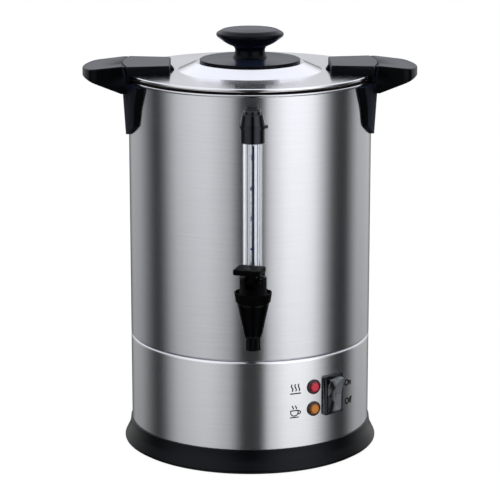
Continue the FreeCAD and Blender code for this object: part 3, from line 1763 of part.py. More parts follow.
nodes = {
    "tank": tank, "base_shell": base_shell, "base_ring": base_ring, "foot_ring": foot_ring,
    "bottom_plate": bottom_plate, "bottom_screws": bottom_screws, "tie_rods": tie_rods,
    "frame_nuts": frame_nuts, "main_heater": main_heater, "keep_warm_heater": keep_warm_heater,
    "heater_clamp": heater_clamp, "terminal_block": terminal_block,
    "switch_frame": switch_frame, "switch_rocker": switch_rocker, "switch_terminals": switch_terminals,
    "inlet_frame": inlet_frame, "inlet_socket": inlet_socket, "inlet_pins": inlet_pins,
    "inlet_screws": inlet_screws, "inlet_nuts": inlet_nuts,
    "handle_left": handle_left, "handle_right": handle_right, "handle_seals": handle_seals,
    "handle_screws": handle_screws, "lid_pan": lid_pan, "lid_seal": lid_seal,
    "lid_ear_left": lid_ear_left, "lid_ear_right": lid_ear_right, "ear_screws": ear_screws,
    "knob_base": knob_base, "lid_knob": lid_knob, "knob_screw": knob_screw, "pump_stem": pump_stem,
    "coffee_basket": coffee_basket, "basket_spreader": basket_spreader, "tap_shank": tap_shank,
    "shank_outer_seal": shank_outer_seal, "shank_inner_seal": shank_inner_seal, "shank_nut": shank_nut,
    "tap_body": tap_body, "tap_bonnet": tap_bonnet, "lever_pin": lever_pin, "seat_cup": seat_cup,
    "tap_stem": tap_stem, "tap_spring": tap_spring, "tap_lever": tap_lever, "gauge_tube": gauge_tube,
    "gauge_lower_seal": gauge_lower_seal, "gauge_cap": gauge_cap, "gauge_plug": gauge_plug,
    "gauge_clip": gauge_clip, "gauge_clip_screw": gauge_clip_screw, "gauge_clip_nut": gauge_clip_nut,
    "internal_wiring": internal_wiring,
}
shapes = {name: make() for name, make in nodes.items()}
shapes["boil_thermostat"] = disc_thermostat(thermostat_angle)
shapes["thermal_cutout"] = disc_thermostat(cutout_angle)
for name, height in (("heating_lamp", heating_lamp_height), ("warm_lamp", warm_lamp_height)):
    shapes[name + "_lens"] = lamp_lens(height)
    shapes[name + "_body"] = lamp_body(height)

os.makedirs("parts", exist_ok=True)
for name, shape in shapes.items():
    shape.exportStep("parts/" + name + ".step")
print(len(shapes), "sub-parts written")
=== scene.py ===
import bmesh
import bpy
import json
import math
import numpy as np
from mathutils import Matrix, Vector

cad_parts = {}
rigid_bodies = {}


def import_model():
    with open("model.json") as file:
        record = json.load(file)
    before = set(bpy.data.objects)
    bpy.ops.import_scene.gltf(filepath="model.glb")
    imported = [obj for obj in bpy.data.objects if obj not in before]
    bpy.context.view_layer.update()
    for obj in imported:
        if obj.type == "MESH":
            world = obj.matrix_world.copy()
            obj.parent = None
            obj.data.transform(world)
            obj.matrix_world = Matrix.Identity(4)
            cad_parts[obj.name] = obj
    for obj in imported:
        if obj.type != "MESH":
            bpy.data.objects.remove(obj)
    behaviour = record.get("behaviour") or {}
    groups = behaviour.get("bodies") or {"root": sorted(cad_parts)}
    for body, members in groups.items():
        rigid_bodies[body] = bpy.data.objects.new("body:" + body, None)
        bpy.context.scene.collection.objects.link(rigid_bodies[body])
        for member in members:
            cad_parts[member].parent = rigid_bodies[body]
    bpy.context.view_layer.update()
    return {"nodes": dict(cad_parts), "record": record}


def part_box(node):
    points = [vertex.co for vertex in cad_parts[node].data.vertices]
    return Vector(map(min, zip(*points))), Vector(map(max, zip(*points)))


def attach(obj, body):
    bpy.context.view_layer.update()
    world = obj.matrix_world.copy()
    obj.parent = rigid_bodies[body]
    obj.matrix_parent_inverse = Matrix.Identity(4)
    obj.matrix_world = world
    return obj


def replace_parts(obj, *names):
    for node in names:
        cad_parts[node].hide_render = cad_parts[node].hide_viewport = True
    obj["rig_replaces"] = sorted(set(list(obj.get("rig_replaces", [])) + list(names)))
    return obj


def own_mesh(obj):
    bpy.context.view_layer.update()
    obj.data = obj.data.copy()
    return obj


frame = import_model()
nodes = frame["nodes"]
record = frame["record"]
nodeBody = {node: body for body, members in record["behaviour"]["bodies"].items() for node in members}
nodeSlot = {row["node"]: row["material_slot"] for row in record["subparts"]}
mm = 0.001
print("frame loaded")


# Small helpers: the frame's sizes, colours, shader nodes

def nodeEnds(node):
    # a CAD node's lowest and highest corner at rest, in mm to a hundredth
    return [[round(value / mm, 2) for value in corner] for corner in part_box(node)]


def middleHeight(node):
    # halfway between the node's foot and its top, in mm
    low, high = nodeEnds(node)
    return round((low[2] + high[2]) / 2, 2)


def hexColour(text):
    # sRGB hex to linear, one channel at a time
    channels = [int(text[i:i + 2], 16) / 255 for i in (1, 3, 5)]
    linear = [c / 12.92 if c <= 0.04045 else ((c + 0.055) / 1.055) ** 2.4 for c in channels]
    return (*linear, 1.0)


def addNode(tree, kind, inputs=None, **settings):
    # makes a shader node; an input value that is a socket becomes a link
    node = tree.nodes.new(kind)
    for name, value in settings.items():
        setattr(node, name, value)
    for name, value in (inputs or {}).items():
        socket = node.inputs[name]
        if isinstance(value, bpy.types.NodeSocket):
            tree.links.new(value, socket)
        else:
            socket.default_value = value
    return node


def newMaterial(name, **values):
    # a Principled material; values are set directly on the shader's sockets
    material = bpy.data.materials.new(name)
    material.use_nodes = True
    tree = material.node_tree
    shader = tree.nodes["Principled BSDF"]
    for key, value in values.items():
        shader.inputs[key].default_value = value
    return material, tree, shader


# Small helpers: surfaces

def gridMesh(name, points, closedU=False, closedV=False):
    # points is an array (rows, columns, 3); neighbours on the grid are joined by quads
    rows, columns = points.shape[:2]
    index = np.arange(rows * columns).reshape(rows, columns)
    nextRow = np.roll(index, -1, axis=0)
    nextColumn = np.roll(index, -1, axis=1)
    both = np.roll(nextRow, -1, axis=1)
    quads = np.stack([index, nextColumn, both, nextRow], axis=-1)
    quads = quads[:rows if closedU else rows - 1, :columns if closedV else columns - 1].reshape(-1, 4)
    mesh = bpy.data.meshes.new(name)
    mesh.from_pydata(points.reshape(-1, 3).tolist(), [], quads.tolist())
    return mesh


def finishMesh(mesh, material, sharpAngle=35, turnOut=True):
    # welds doubles and poles, turns faces outwards and smooths all but the sharp edges
    work = bmesh.new()
    work.from_mesh(mesh)
    bmesh.ops.remove_doubles(work, verts=work.verts, dist=1e-7)
    if turnOut:
        bmesh.ops.recalc_face_normals(work, faces=work.faces)
    work.to_mesh(mesh)
    work.free()
    mesh.shade_smooth()
    mesh.set_sharp_from_angle(angle=math.radians(sharpAngle))
    mesh.materials.clear()
    mesh.materials.append(material)
    return mesh


def addPiece(name, mesh, body, replaced=()):
    # an object at the origin, unturned, on its body; its material comes with the mesh
    piece = bpy.data.objects.new(name, mesh)
    bpy.context.scene.collection.objects.link(piece)
    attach(piece, body)
    if replaced:
        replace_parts(piece, *replaced)
    return piece


def standIn(name, node, mesh):
    # a piece that stands for one CAD node
    return addPiece(name, mesh, nodeBody[node], [node])


def copyNode(name, material, sharpAngle=35):
    # a welded, smooth copy of a CAD node; its faces already point outwards
    mesh = finishMesh(nodes[name].data.copy(), material, sharpAngle, turnOut=False)
    return standIn(name + "Skin", name, mesh)


def vertexPlaces(mesh):
    # every vertex's place, one row each
    places = np.empty(len(mesh.vertices) * 3, dtype=np.float32)
    mesh.vertices.foreach_get("co", places)
    return places.reshape(-1, 3)


def roundedProfile(corners, closed=True, steps=7, support=0.5):
    # a path through corners (radius, height, rounding) in mm. Each rounding is an arc tangent to both
    # sides: centre + (sin((1-t)a) * start + sin(t*a) * end) / sin(a), with a the arc's angle.
    # A supporting row stands close to both ends of each straight run, so smooth shading stays on the arcs
    corners = np.array(corners, dtype=float)
    place, rounding = corners[:, :2], corners[:, 2:]
    back = np.roll(place, 1, axis=0) - place
    ahead = np.roll(place, -1, axis=0) - place
    back /= np.linalg.norm(back, axis=1, keepdims=True)
    ahead /= np.linalg.norm(ahead, axis=1, keepdims=True)
    half = np.arccos(np.clip((back * ahead).sum(axis=1, keepdims=True), -1, 1)) / 2
    reach = rounding / np.tan(half)
    start, end = place + back * reach, place + ahead * reach
    bisector = (back + ahead) / np.linalg.norm(back + ahead, axis=1, keepdims=True)
    centre = place + bisector * rounding / np.sin(half)
    turn = math.pi - 2 * half
    t = np.linspace(0, 1, steps)[None, :, None]
    first, last = (start - centre)[:, None], (end - centre)[:, None]
    turn = turn[:, None]
    arcs = centre[:, None] + (np.sin((1 - t) * turn) * first + np.sin(t * turn) * last) / np.sin(turn)
    run = np.roll(start, -1, axis=0) - end
    length = np.linalg.norm(run, axis=1, keepdims=True)
    margin = np.minimum(support, 0.25 * length)
    step = run / np.maximum(length, 1e-9) * margin
    near = np.stack([end + step, np.roll(start, -1, axis=0) - step], axis=1)
    rows = np.concatenate([arcs, near], axis=1).reshape(-1, 2)
    return rows if closed else rows[:-2]


def latheMesh(name, profile, segments, closed=True, base=(0, 0, 0), axis=(0, 0, 1)):
    # turns a profile (radius, height) in mm about an axis through base:
    # base + height * axis + radius * (cos(turn) * across + sin(turn) * up)
    axis = np.array(axis, dtype=float) / np.linalg.norm(axis)
    helper = np.array((0.0, 0.0, 1.0) if abs(axis[2]) < 0.9 else (1.0, 0.0, 0.0))
    across = np.cross(helper, axis)
    across /= np.linalg.norm(across)
    up = np.cross(axis, across)
    turn = np.linspace(0, 2 * math.pi, segments, endpoint=False)[None, :, None]
    radius, height = profile[:, 0][:, None, None], profile[:, 1][:, None, None]
    points = np.array(base) + height * axis + radius * (np.cos(turn) * across + np.sin(turn) * up)
    return gridMesh(name, points * mm, closedU=closed, closedV=True)


def joinMeshes(name, meshes):
    # several closed meshes kept as one
    work = bmesh.new()
    for mesh in meshes:
        work.from_mesh(mesh)
    whole = bpy.data.meshes.new(name)
    work.to_mesh(whole)
    work.free()
    return whole


def trueRound(mesh, radii, shoulder=None, tolerance=0.02):
    # sets the shading of a sheet wall to the cylinder it lies on: where a face looks straight out from the
    # axis, the normal at each of its corners is (x, y, 0) / radius, outwards or inwards as the face is
    loops = len(mesh.loops)
    vertexOf = np.empty(loops, dtype=np.int32)
    mesh.loops.foreach_get("vertex_index", vertexOf)
    normals = np.empty(loops * 3, dtype=np.float32)
    mesh.corner_normals.foreach_get("vector", normals)
    normals = normals.reshape(-1, 3)
    places = vertexPlaces(mesh)[vertexOf]
    total = np.empty(len(mesh.polygons), dtype=np.int32)
    mesh.polygons.foreach_get("loop_total", total)
    flat = np.empty(len(mesh.polygons) * 3, dtype=np.float32)
    mesh.polygons.foreach_get("normal", flat)
    flat = np.repeat(flat.reshape(-1, 3), total, axis=0)
    radius = np.hypot(places[:, 0], places[:, 1])
    radial = np.stack([places[:, 0], places[:, 1], 0 * radius], axis=1) / np.maximum(radius, 1e-9)[:, None]
    facing = (radial * flat).sum(axis=1)
    onWall = np.any([np.abs(radius - r * mm) < tolerance * mm for r in radii], axis=0)
    onWall &= np.abs(facing) > 0.99
    normals[onWall] = radial[onWall] * np.sign(facing[onWall])[:, None]
    if shoulder:
        # on the rounded shoulder the normal is (place - centre of the round) / radius of the round
        reach, level, size = [value * mm for value in shoulder]
        sideways, upwards = radius - reach, places[:, 2] - level
        onRound = np.abs(np.hypot(sideways, upwards) - size) < tolerance * mm
        onRound &= (sideways > -1e-6) & (upwards > -1e-6) & (np.abs(facing) < 0.99999)
        rounded = (radial * sideways[:, None] + np.array((0, 0, 1)) * upwards[:, None]) / size
        onRound &= (rounded * flat).sum(axis=1) > 0.9
        normals[onRound] = rounded[onRound]
    mesh.normals_split_custom_set(normals.tolist())


# Materials

def brushedSteel(name, colour, roughness, anisotropy, streak, wear, bump, seam=False):
    # stainless sheet, spun and brushed round the axis: fine rings that smear reflections up and down. The
    # real rings are about 0.1 mm apart, and they are drawn coarser, as streak says, so that they show
    material, tree, shader = newMaterial(name, Metallic=1.0, Anisotropic=anisotropy)
    place = addNode(tree, "ShaderNodeTexCoord").outputs["Object"]
    surface = addNode(tree, "ShaderNodeNewGeometry").outputs["Normal"]
    # the tangent runs up the wall: normal x (axis x place), made one long
    along = addNode(tree, "ShaderNodeVectorMath", {0: (0, 0, 1), 1: place}, operation="CROSS_PRODUCT")
    across = addNode(tree, "ShaderNodeVectorMath", {
        0: surface, 1: along.outputs[0]}, operation="CROSS_PRODUCT")
    tangent = addNode(tree, "ShaderNodeVectorMath", {0: across.outputs[0]}, operation="NORMALIZE")
    tree.links.new(tangent.outputs[0], shader.inputs["Tangent"])
    finePlace = addNode(tree, "ShaderNodeMapping", {
        "Vector": place, "Scale": (1 / streak[1], 1 / streak[1], 1 / streak[0])}).outputs[0]
    fine = addNode(tree, "ShaderNodeTexNoise", {
        "Vector": finePlace, "Scale": 1.0, "Detail": 3.0, "Roughness": 0.65}).outputs[0]
    broad = addNode(tree, "ShaderNodeTexNoise", {"Vector": place, "Scale": 1 / (60 * mm), "Detail": 3.0})
    worn = addNode(tree, "ShaderNodeMath", {
        0: fine, 1: wear, 2: roughness - 0.5 * wear - 0.02}, operation="MULTIPLY_ADD")
    level = addNode(tree, "ShaderNodeMath", {
        0: broad.outputs[0], 1: 0.04, 2: worn.outputs[0]}, operation="MULTIPLY_ADD").outputs[0]
    height = fine
    if seam:
        # the sheet's butt weld down the back, ground nearly flush: |x| under half its width, where y > 0
        axes = addNode(tree, "ShaderNodeSeparateXYZ", {0: place})
        aside = addNode(tree, "ShaderNodeMath", {0: axes.outputs["X"]}, operation="ABSOLUTE").outputs[0]
        line = addNode(tree, "ShaderNodeMapRange", {
            "Value": aside, "From Min": 0.3 * mm, "From Max": 0.8 * mm, "To Min": 1.0, "To Max": 0.0})
        behind = addNode(tree, "ShaderNodeMath", {0: axes.outputs["Y"], 1: 0.0}, operation="GREATER_THAN")
        weld = addNode(tree, "ShaderNodeMath", {
            0: line.outputs[0], 1: behind.outputs[0]}, operation="MULTIPLY").outputs[0]
        # the weld is duller by a tenth and stands up a little
        level, height = [addNode(tree, "ShaderNodeMath", {
            0: weld, 1: share, 2: value}, operation="MULTIPLY_ADD").outputs[0]
            for share, value in ((0.10, level), (3.0, height))]
    tree.links.new(level, shader.inputs["Roughness"])
    tint = addNode(tree, "ShaderNodeMixRGB", {
        "Fac": fine, "Color1": hexColour(colour[0]), "Color2": hexColour(colour[1])})
    tree.links.new(tint.outputs[0], shader.inputs["Base Color"])
    scratches = addNode(tree, "ShaderNodeBump", {"Height": height, "Strength": bump, "Distance": 0.02 * mm})
    tree.links.new(scratches.outputs[0], shader.inputs["Normal"])
    return material


def mouldedPlastic(name, colour, roughness, grainSize, grain, rubbed=None, **more):
    # injection-moulded plastic: spark-eroded grain from the mould, drawn coarser than the real 0.1 mm so
    # that it shows, and slightly uneven gloss. Hands have rubbed it to a satin above the second height of
    # rubbed; below the first the grain is dull
    material, tree, shader = newMaterial(name, **{"IOR": 1.54, **more})
    place = addNode(tree, "ShaderNodeTexCoord").outputs["Object"]
    fine = addNode(tree, "ShaderNodeTexNoise", {"Vector": place, "Scale": 1 / grainSize, "Detail": 2.0})
    broad = addNode(tree, "ShaderNodeTexNoise", {
        "Vector": place, "Scale": 1 / (25 * mm), "Detail": 3.0}).outputs[0]
    gloss = addNode(tree, "ShaderNodeMath", {
        0: broad, 1: 0.08, 2: roughness - 0.04}, operation="MULTIPLY_ADD").outputs[0]
    if rubbed:
        height = addNode(tree, "ShaderNodeSeparateXYZ", {0: place}).outputs["Z"]
        duller = addNode(tree, "ShaderNodeMapRange", {
            "Value": height, "From Min": rubbed[0] * mm, "From Max": rubbed[1] * mm,
            "To Min": 0.45, "To Max": 0.0})
        gloss = addNode(tree, "ShaderNodeMath", {
            0: gloss, 1: duller.outputs[0]}, operation="ADD").outputs[0]
    tree.links.new(gloss, shader.inputs["Roughness"])
    shade = addNode(tree, "ShaderNodeMixRGB", {
        "Fac": broad, "Color1": hexColour(colour[0]), "Color2": hexColour(colour[1])})
    tree.links.new(shade.outputs[0], shader.inputs["Base Color"])
    dimples = addNode(tree, "ShaderNodeBump", {
        "Height": fine.outputs[0], "Strength": grain, "Distance": 0.05 * mm})
    tree.links.new(dimples.outputs[0], shader.inputs["Normal"])
    return material


def platedMetal(name, colour, roughness, grainSize):
    # drawn, pressed or cast metal, plated or bare: faint marks from its making, drawn coarser than real
    material, tree, shader = newMaterial(name, Metallic=1.0)
    place = addNode(tree, "ShaderNodeTexCoord").outputs["Object"]
    marksAt = addNode(tree, "ShaderNodeTexNoise", {
        "Vector": place, "Scale": 1 / grainSize, "Detail": 3.0}).outputs[0]
    dull = addNode(tree, "ShaderNodeMath", {
        0: marksAt, 1: 0.15, 2: roughness - 0.07}, operation="MULTIPLY_ADD")
    tree.links.new(dull.outputs[0], shader.inputs["Roughness"])
    shade = addNode(tree, "ShaderNodeMixRGB", {
        "Fac": marksAt, "Color1": hexColour(colour[0]), "Color2": hexColour(colour[1])})
    tree.links.new(shade.outputs[0], shader.inputs["Base Color"])
    return material


def clearPlastic(name, colour, roughness, transmission, ior):
    # polished clear plastic, with the faint waviness of extrusion
    material, tree, shader = newMaterial(name, **{
        "IOR": ior, "Base Color": hexColour(colour), "Roughness": roughness,
        "Transmission Weight": transmission})
    place = addNode(tree, "ShaderNodeTexCoord").outputs["Object"]
    waves = addNode(tree, "ShaderNodeTexNoise", {"Vector": place, "Scale": 1 / (6 * mm), "Detail": 1.0})
    ripple = addNode(tree, "ShaderNodeBump", {
        "Height": waves.outputs[0], "Strength": 0.05, "Distance": 0.1 * mm})
    tree.links.new(ripple.outputs[0], shader.inputs["Normal"])
    return material


def lampPlastic(name, centre, tilt, colours):
    # tinted lens over a pale cup, with a painted glow bright in the middle that fades to painted shade,
    # nearly black at the rim, by the distance from the lens's own axis, which the Mapping node lays along
    # its z
    material, tree, shader = newMaterial(name, **{
        "IOR": 1.58, "Roughness": 0.14, "Transmission Weight": 0.10, "Specular IOR Level": 0.3})
    place = addNode(tree, "ShaderNodeTexCoord").outputs["Object"]
    local = addNode(tree, "ShaderNodeMapping", {
        "Vector": place, "Location": tuple(centre), "Rotation": tilt}, vector_type="TEXTURE").outputs[0]
    flat = addNode(tree, "ShaderNodeVectorMath", {0: local, 1: (1, 1, 0)}, operation="MULTIPLY")
    out = addNode(tree, "ShaderNodeVectorMath", {0: flat.outputs[0]}, operation="LENGTH").outputs["Value"]
    # painted glow: 1 in the middle of the lens, 0 at its rim, where the painted shade lies
    glow = addNode(tree, "ShaderNodeMapRange", {
        "Value": out, "From Min": 2.6 * mm, "From Max": 6.0 * mm, "To Min": 1.0, "To Max": 0.0},
        interpolation_type="SMOOTHSTEP").outputs[0]
    facets = addNode(tree, "ShaderNodeTexVoronoi", {"Vector": local, "Scale": 1 / (1.5 * mm)}).outputs[0]
    paintedGlowWithFacets = addNode(tree, "ShaderNodeMath", {
        0: facets, 1: -0.30, 2: glow}, operation="MULTIPLY_ADD", use_clamp=True)
    tint = addNode(tree, "ShaderNodeMixRGB", {
        "Fac": paintedGlowWithFacets.outputs[0], "Color1": hexColour(colours[0]), "Color2": hexColour(colours[1])})
    tree.links.new(tint.outputs[0], shader.inputs["Base Color"])
    dimples = addNode(tree, "ShaderNodeBump", {"Height": facets, "Strength": 0.25, "Distance": 0.3 * mm})
    tree.links.new(dimples.outputs[0], shader.inputs["Normal"])
    return material


def smokedPlastic(name, colours, azimuth):
    # smoked polycarbonate, dark on the side towards the camera, where this is also painted shade from the
    # frame, and painted lighter on the side turned away, with long lines down it: a painted reflection of
    # the soft box at its right. Across is x * cos(azimuth) + y * sin(azimuth)
    material, tree, shader = newMaterial(name, **{
        "IOR": 1.58, "Roughness": 0.10, "Coat Weight": 0.6, "Coat Roughness": 0.04})
    place = addNode(tree, "ShaderNodeTexCoord").outputs["Object"]
    side = (math.cos(math.radians(azimuth)), math.sin(math.radians(azimuth)), 0)
    across = addNode(tree, "ShaderNodeVectorMath", {0: place, 1: side}, operation="DOT_PRODUCT")
    stretched = addNode(tree, "ShaderNodeMapping", {
        "Vector": place, "Scale": (1 / (3 * mm), 1 / (3 * mm), 1 / (14 * mm))})
    paintedStreaks = addNode(tree, "ShaderNodeTexNoise", {
        "Vector": stretched.outputs[0], "Scale": 1.0, "Detail": 2.0})
    shifted = addNode(tree, "ShaderNodeMath", {
        0: paintedStreaks.outputs[0], 1: 9 * mm, 2: across.outputs["Value"]}, operation="MULTIPLY_ADD")
    # painted reflection: 0 on the side towards the camera, up to 1 on the side turned away
    clear = addNode(tree, "ShaderNodeMapRange", {
        "Value": shifted.outputs[0], "From Min": 0.5 * mm, "From Max": 7.5 * mm,
        "To Min": 0.0, "To Max": 1.0}, interpolation_type="SMOOTHSTEP").outputs[0]
    tint = addNode(tree, "ShaderNodeMixRGB", {
        "Fac": clear, "Color1": hexColour(colours[0]), "Color2": hexColour(colours[1])})
    tree.links.new(tint.outputs[0], shader.inputs["Base Color"])
    return material


def shine(level):
    # how much a black plastic mirrors, with the cool cast of daylight
    return {"Specular IOR Level": level, "Specular Tint": (0.80, 0.89, 1.0, 1.0)}


# the blue tint is a painted sheen: the cool cast of the light that the black tops catch at grazing angles
satinSheen = {"Sheen Weight": 0.055, "Sheen Roughness": 0.35, "Sheen Tint": (0.25, 0.4, 1.0, 1.0)}
handleTop = nodeEnds("handle_left")[1][2]
sheetGrain = {
    "roughness": 0.21, "anisotropy": 0.80, "streak": (0.8 * mm, 45 * mm), "wear": 0.05, "bump": 0.04}
bodySteel = brushedSteel("brushedBodySheet", ("#c2c4c9", "#d0d2d7"), **sheetGrain, seam=True)
shellSteel = brushedSteel("brushedShellSheet", ("#d2d4d8", "#dfe1e5"), **sheetGrain, seam=True)
lidSteel = brushedSteel("spunLidSheet", ("#d2d3d7", "#dddee2"), 0.16, 0.45, (1.2 * mm, 60 * mm), 0.05, 0.05)
insideSteel = brushedSteel(
    "plainInsideSheet", ("#b9bbbe", "#c6c8cb"), 0.34, 0.30, (1.5 * mm, 30 * mm), 0.12, 0.15)
handleAbs = mouldedPlastic(
    "satinBlackAbs", ("#040507", "#08090c"), 0.24, 0.35 * mm, 0.06, (handleTop - 4.5, handleTop - 0.4),
    **shine(0.06), **satinSheen)
gripAbs = mouldedPlastic(
    "satinBlackGripAbs", ("#020203", "#040405"), 0.20, 0.35 * mm, 0.06, (handleTop - 24.0, handleTop - 8.0),
    **shine(0.05), **satinSheen)
tapAbs = mouldedPlastic("tapBlackNylon", ("#020203", "#040405"), 0.15, 0.4 * mm, 0.03, **shine(0.06))
leverAbs = mouldedPlastic(
    "mattLeverNylon", ("#020203", "#040405"), 0.40, 0.4 * mm, 0.05, **{"Specular IOR Level": 0.02})
glossAbs = mouldedPlastic("polishedBlackAbs", ("#030304", "#050506"), 0.10, 0.5 * mm, 0.02, **shine(0.34))
baseAbs = mouldedPlastic(
    "baseBlackPolypropylene", ("#020203", "#040406"), 0.30, 0.4 * mm, 0.06, **shine(0.13))
rockerSmoke = smokedPlastic("smokyPolycarbonate", ("#121418", "#555a65"), 41.2)
whiteNylon = mouldedPlastic("whiteHeatproofNylon", ("#dcd8cc", "#e6e2d8"), 0.45, 0.4 * mm, 0.15)
rubberFoot = mouldedPlastic("blackFootRubber", ("#141414", "#1b1b1b"), 0.75, 0.5 * mm, 0.3)
siliconeSeal = mouldedPlastic("milkySilicone", ("#c9c4ba", "#d5d0c6"), 0.50, 0.6 * mm, 0.1)
lidRubber = mouldedPlastic(
    "darkSiliconeGasket", ("#0e0906", "#140d0a"), 0.55, 0.6 * mm, 0.1, **shine(0.025))
zincSteel = platedMetal("zincPlatedSteel", ("#c6c8cb", "#d6d8da"), 0.28, 0.8 * mm)
springSteel = platedMetal("drawnSpringSteel", ("#b9bbbe", "#cccdd0"), 0.22, 0.5 * mm)
brassPart = platedMetal("rolledBrass", ("#c9a252", "#d8b468"), 0.26, 0.7 * mm)
blackSteel = platedMetal("blackenedSteel", ("#17171a", "#1f1f22"), 0.50, 0.6 * mm)
castAluminium = platedMetal("castAluminium", ("#a9abad", "#bcbec0"), 0.50, 0.6 * mm)
tubeAcrylic = clearPlastic("clearAcrylicTube", "#fbfdff", 0.03, 1.0, 1.49)
wireSilicone = mouldedPlastic("redWireSilicone", ("#8c2a1c", "#9c3424"), 0.50, 0.5 * mm, 0.1)
blackInk = mouldedPlastic("blackPrintingInk", ("#0c0c0e", "#121214"), 0.45, 0.2 * mm, 0.05, **shine(0.025))
darkBlueInk = mouldedPlastic(
    "darkBlueScaleInk", ("#1a2238", "#232b42"), 0.30, 0.2 * mm, 0.03, **shine(0.025))
blueInk = mouldedPlastic("bluePrintingInk", ("#061a4c", "#0a2058"), 0.40, 0.2 * mm, 0.05)
print("materials made")


# Sheet parts: tank, base shell, lid with its gasket's lip, a dark ring put as painted shade in the gap.
# Sizes in mm

tankTop = nodeEnds("tank")[1][2]
sheet = {
    "radius": nodeEnds("base_shell")[1][0], "seam": nodeEnds("base_shell")[1][2], "wall": 0.8,
    "shoulder": 3.0,     # rounding at the top of the base shell
    "foot": 1.0,         # rounding at the foot of the tank's wall
    "beadSize": 1.3, "beadOut": 0.2,
    "well": 25.5, "wellBottom": nodeEnds("tank")[0][2],
    "around": 224,
}


def tankMesh():
    # the section goes up the outside from the well to the rolled bead, over it, and back down the inside
    outside, wall, bead, seam = sheet["radius"], sheet["wall"], sheet["beadSize"], sheet["seam"]
    inside, well, low = outside - wall, sheet["well"], sheet["wellBottom"]
    beadRadius, beadHeight = outside + sheet["beadOut"], tankTop - bead
    footAngle = math.atan2(-math.sqrt(bead ** 2 - (beadRadius - outside) ** 2), outside - beadRadius)
    topAngle = math.acos((inside - beadRadius) / bead)
    turn = np.linspace(footAngle, topAngle, 26)
    rolled = np.stack([beadRadius + bead * np.cos(turn), beadHeight + bead * np.sin(turn)], axis=1)
    up = roundedProfile([
        (0, low, 0), (well + wall, low, 3.8), (well + wall, seam, 0), (outside, seam, sheet["foot"]),
        (*rolled[0], 0)], closed=False)
    down = roundedProfile([
        (*rolled[-1], 0), (inside, seam + wall, 2.2), (well, seam + wall, 0), (well, low + wall, 3.0),
        (0, low + wall, 0)], closed=False)
    return latheMesh("tankWall", np.concatenate([up, rolled, down]), sheet["around"], closed=False)


standIn("tankWall", "tank", finishMesh(tankMesh(), bodySteel))
shellSkin = copyNode("base_shell", shellSteel, 30)
trueRound(shellSkin.data, (sheet["radius"], sheet["radius"] - sheet["wall"]), (
    sheet["radius"] - sheet["shoulder"], sheet["seam"] - sheet["shoulder"], sheet["shoulder"]))

lidLow, lidHigh = nodeEnds("lid_pan")
lid = {
    "edge": lidHigh[0], "crown": lidHigh[2], "top": lidHigh[2] - 7.2, "slope": (65.0, 49.0),
    "roll": 3.2, "bottom": tankTop + 1.4,     # the rolled edge: how far in it goes, and where it ends
    "skirt": 107.5, "skirtLow": lidLow[2],
    "lip": (3.0, 0.3), "lipHeights": (0.12, 1.3),     # in from the lid's edge, and above the tank's bead
}


def lidMesh():
    # the pan's section goes out over the crown, down the slope to the rolled edge and back underneath
    wall, top, crown, edge, bottom = sheet["wall"], lid["top"], lid["crown"], lid["edge"], lid["bottom"]
    wide, narrow = lid["slope"]
    rollIn, skirt, low = edge - lid["roll"], lid["skirt"], lid["skirtLow"]
    pan = roundedProfile([
        (0, crown, 0), (narrow, crown, 2.0), (wide, top, 2.0), (edge, top, 0.9), (edge, bottom, 1.8),
        (rollIn, bottom, 0.2), (rollIn, top - wall, 0.3), (wide, top - wall, 2.0),
        (narrow, crown - wall, 2.0), (0, crown - wall, 0)], closed=False)
    ring = roundedProfile([
        (skirt, top - wall, 0), (skirt, low, 0.2), (skirt - wall, low, 0.2), (skirt - wall, top - wall, 0)])
    return joinMeshes("lidPan", [
        latheMesh("lidTop", pan, sheet["around"], closed=False),
        latheMesh("lidSkirt", ring, sheet["around"])])


standIn("lidPan", "lid_pan", finishMesh(lidMesh(), lidSteel))

# The gasket's lip shows as a dark line between the lid's edge and the tank's bead: the gasket is real, and
# the lip that shows past the lid is a dark ring put there as painted shade in the gap
lipIn, lipOut = [lid["edge"] - inset for inset in lid["lip"]]
lipLow, lipHigh = [tankTop + rise for rise in lid["lipHeights"]]
gapShadeLipSection = roundedProfile([
    (lipIn, lipLow, 0.2), (lipOut, lipLow, 0.4), (lipOut, lipHigh, 0.4), (lipIn, lipHigh, 0.2)])
addPiece("lidSealLip", finishMesh(latheMesh("lidSealLip", gapShadeLipSection, sheet["around"]), lidRubber),
         nodeBody["lid_seal"])
print("sheet parts made")


# Turned plastic parts. Each section goes through (radius, height above the part's foot, rounding)

turned = {
    "base_ring": [
        (110.2, 20.2, 0), (111.1, 20.2, 0.3), (111.9, 12.5, 20.0), (118.0, 0, 2.0), (112.8, 0, 0.2),
        (112.8, 3.0, 0), (107.0, 3.0, 0), (107.0, 0, 0.2), (105.0, 0, 0.2), (105.0, 8.0, 0),
        (100.0, 8.0, 0.2), (100.0, 10.5, 0.2), (110.2, 10.5, 0)],
    "knob_base": [(0, 0, 0), (45.5, 0, 0.8), (45.5, 2.5, 0.8), (16.0, 3.5, 0), (0, 3.5, 0)],
    "lid_knob": [
        (0, 0, 0), (16.0, 0, 0), (13.5, 3.6, 10.0), (13.5, 10.0, 4.5), (22.0, 13.6, 30.0),
        (29.8, 19.6, 4.0), (31.0, 22.2, 1.9), (25.0, 25.7, 8.0), (12.5, 27.3, 60.0), (0, 27.3, 0)],
    "gauge_tube": [(8.5, 0, 0.3), (8.5, 135.0, 0.3), (4.0, 135.0, 0.3), (4.0, 0, 0.3)],
    "gauge_cap": [
        (8.5, 0, 0), (10.7, 0, 0.4), (10.7, 15.3, 0.6), (9.1, 24.9, 0.8), (3.4, 24.9, 0), (3.4, 10.5, 0),
        (8.5, 10.5, 0)],
    "gauge_plug": [(0, 0, 0), (3.4, 0, 0), (3.4, 8.0, 0), (7.0, 8.0, 0), (7.0, 10.9, 0.8), (0, 10.9, 0)],
}
tubeLow, tubeHigh = nodeEnds("gauge_tube")
gaugeAxis = ((tubeLow[0] + tubeHigh[0]) / 2, (tubeLow[1] + tubeHigh[1]) / 2)


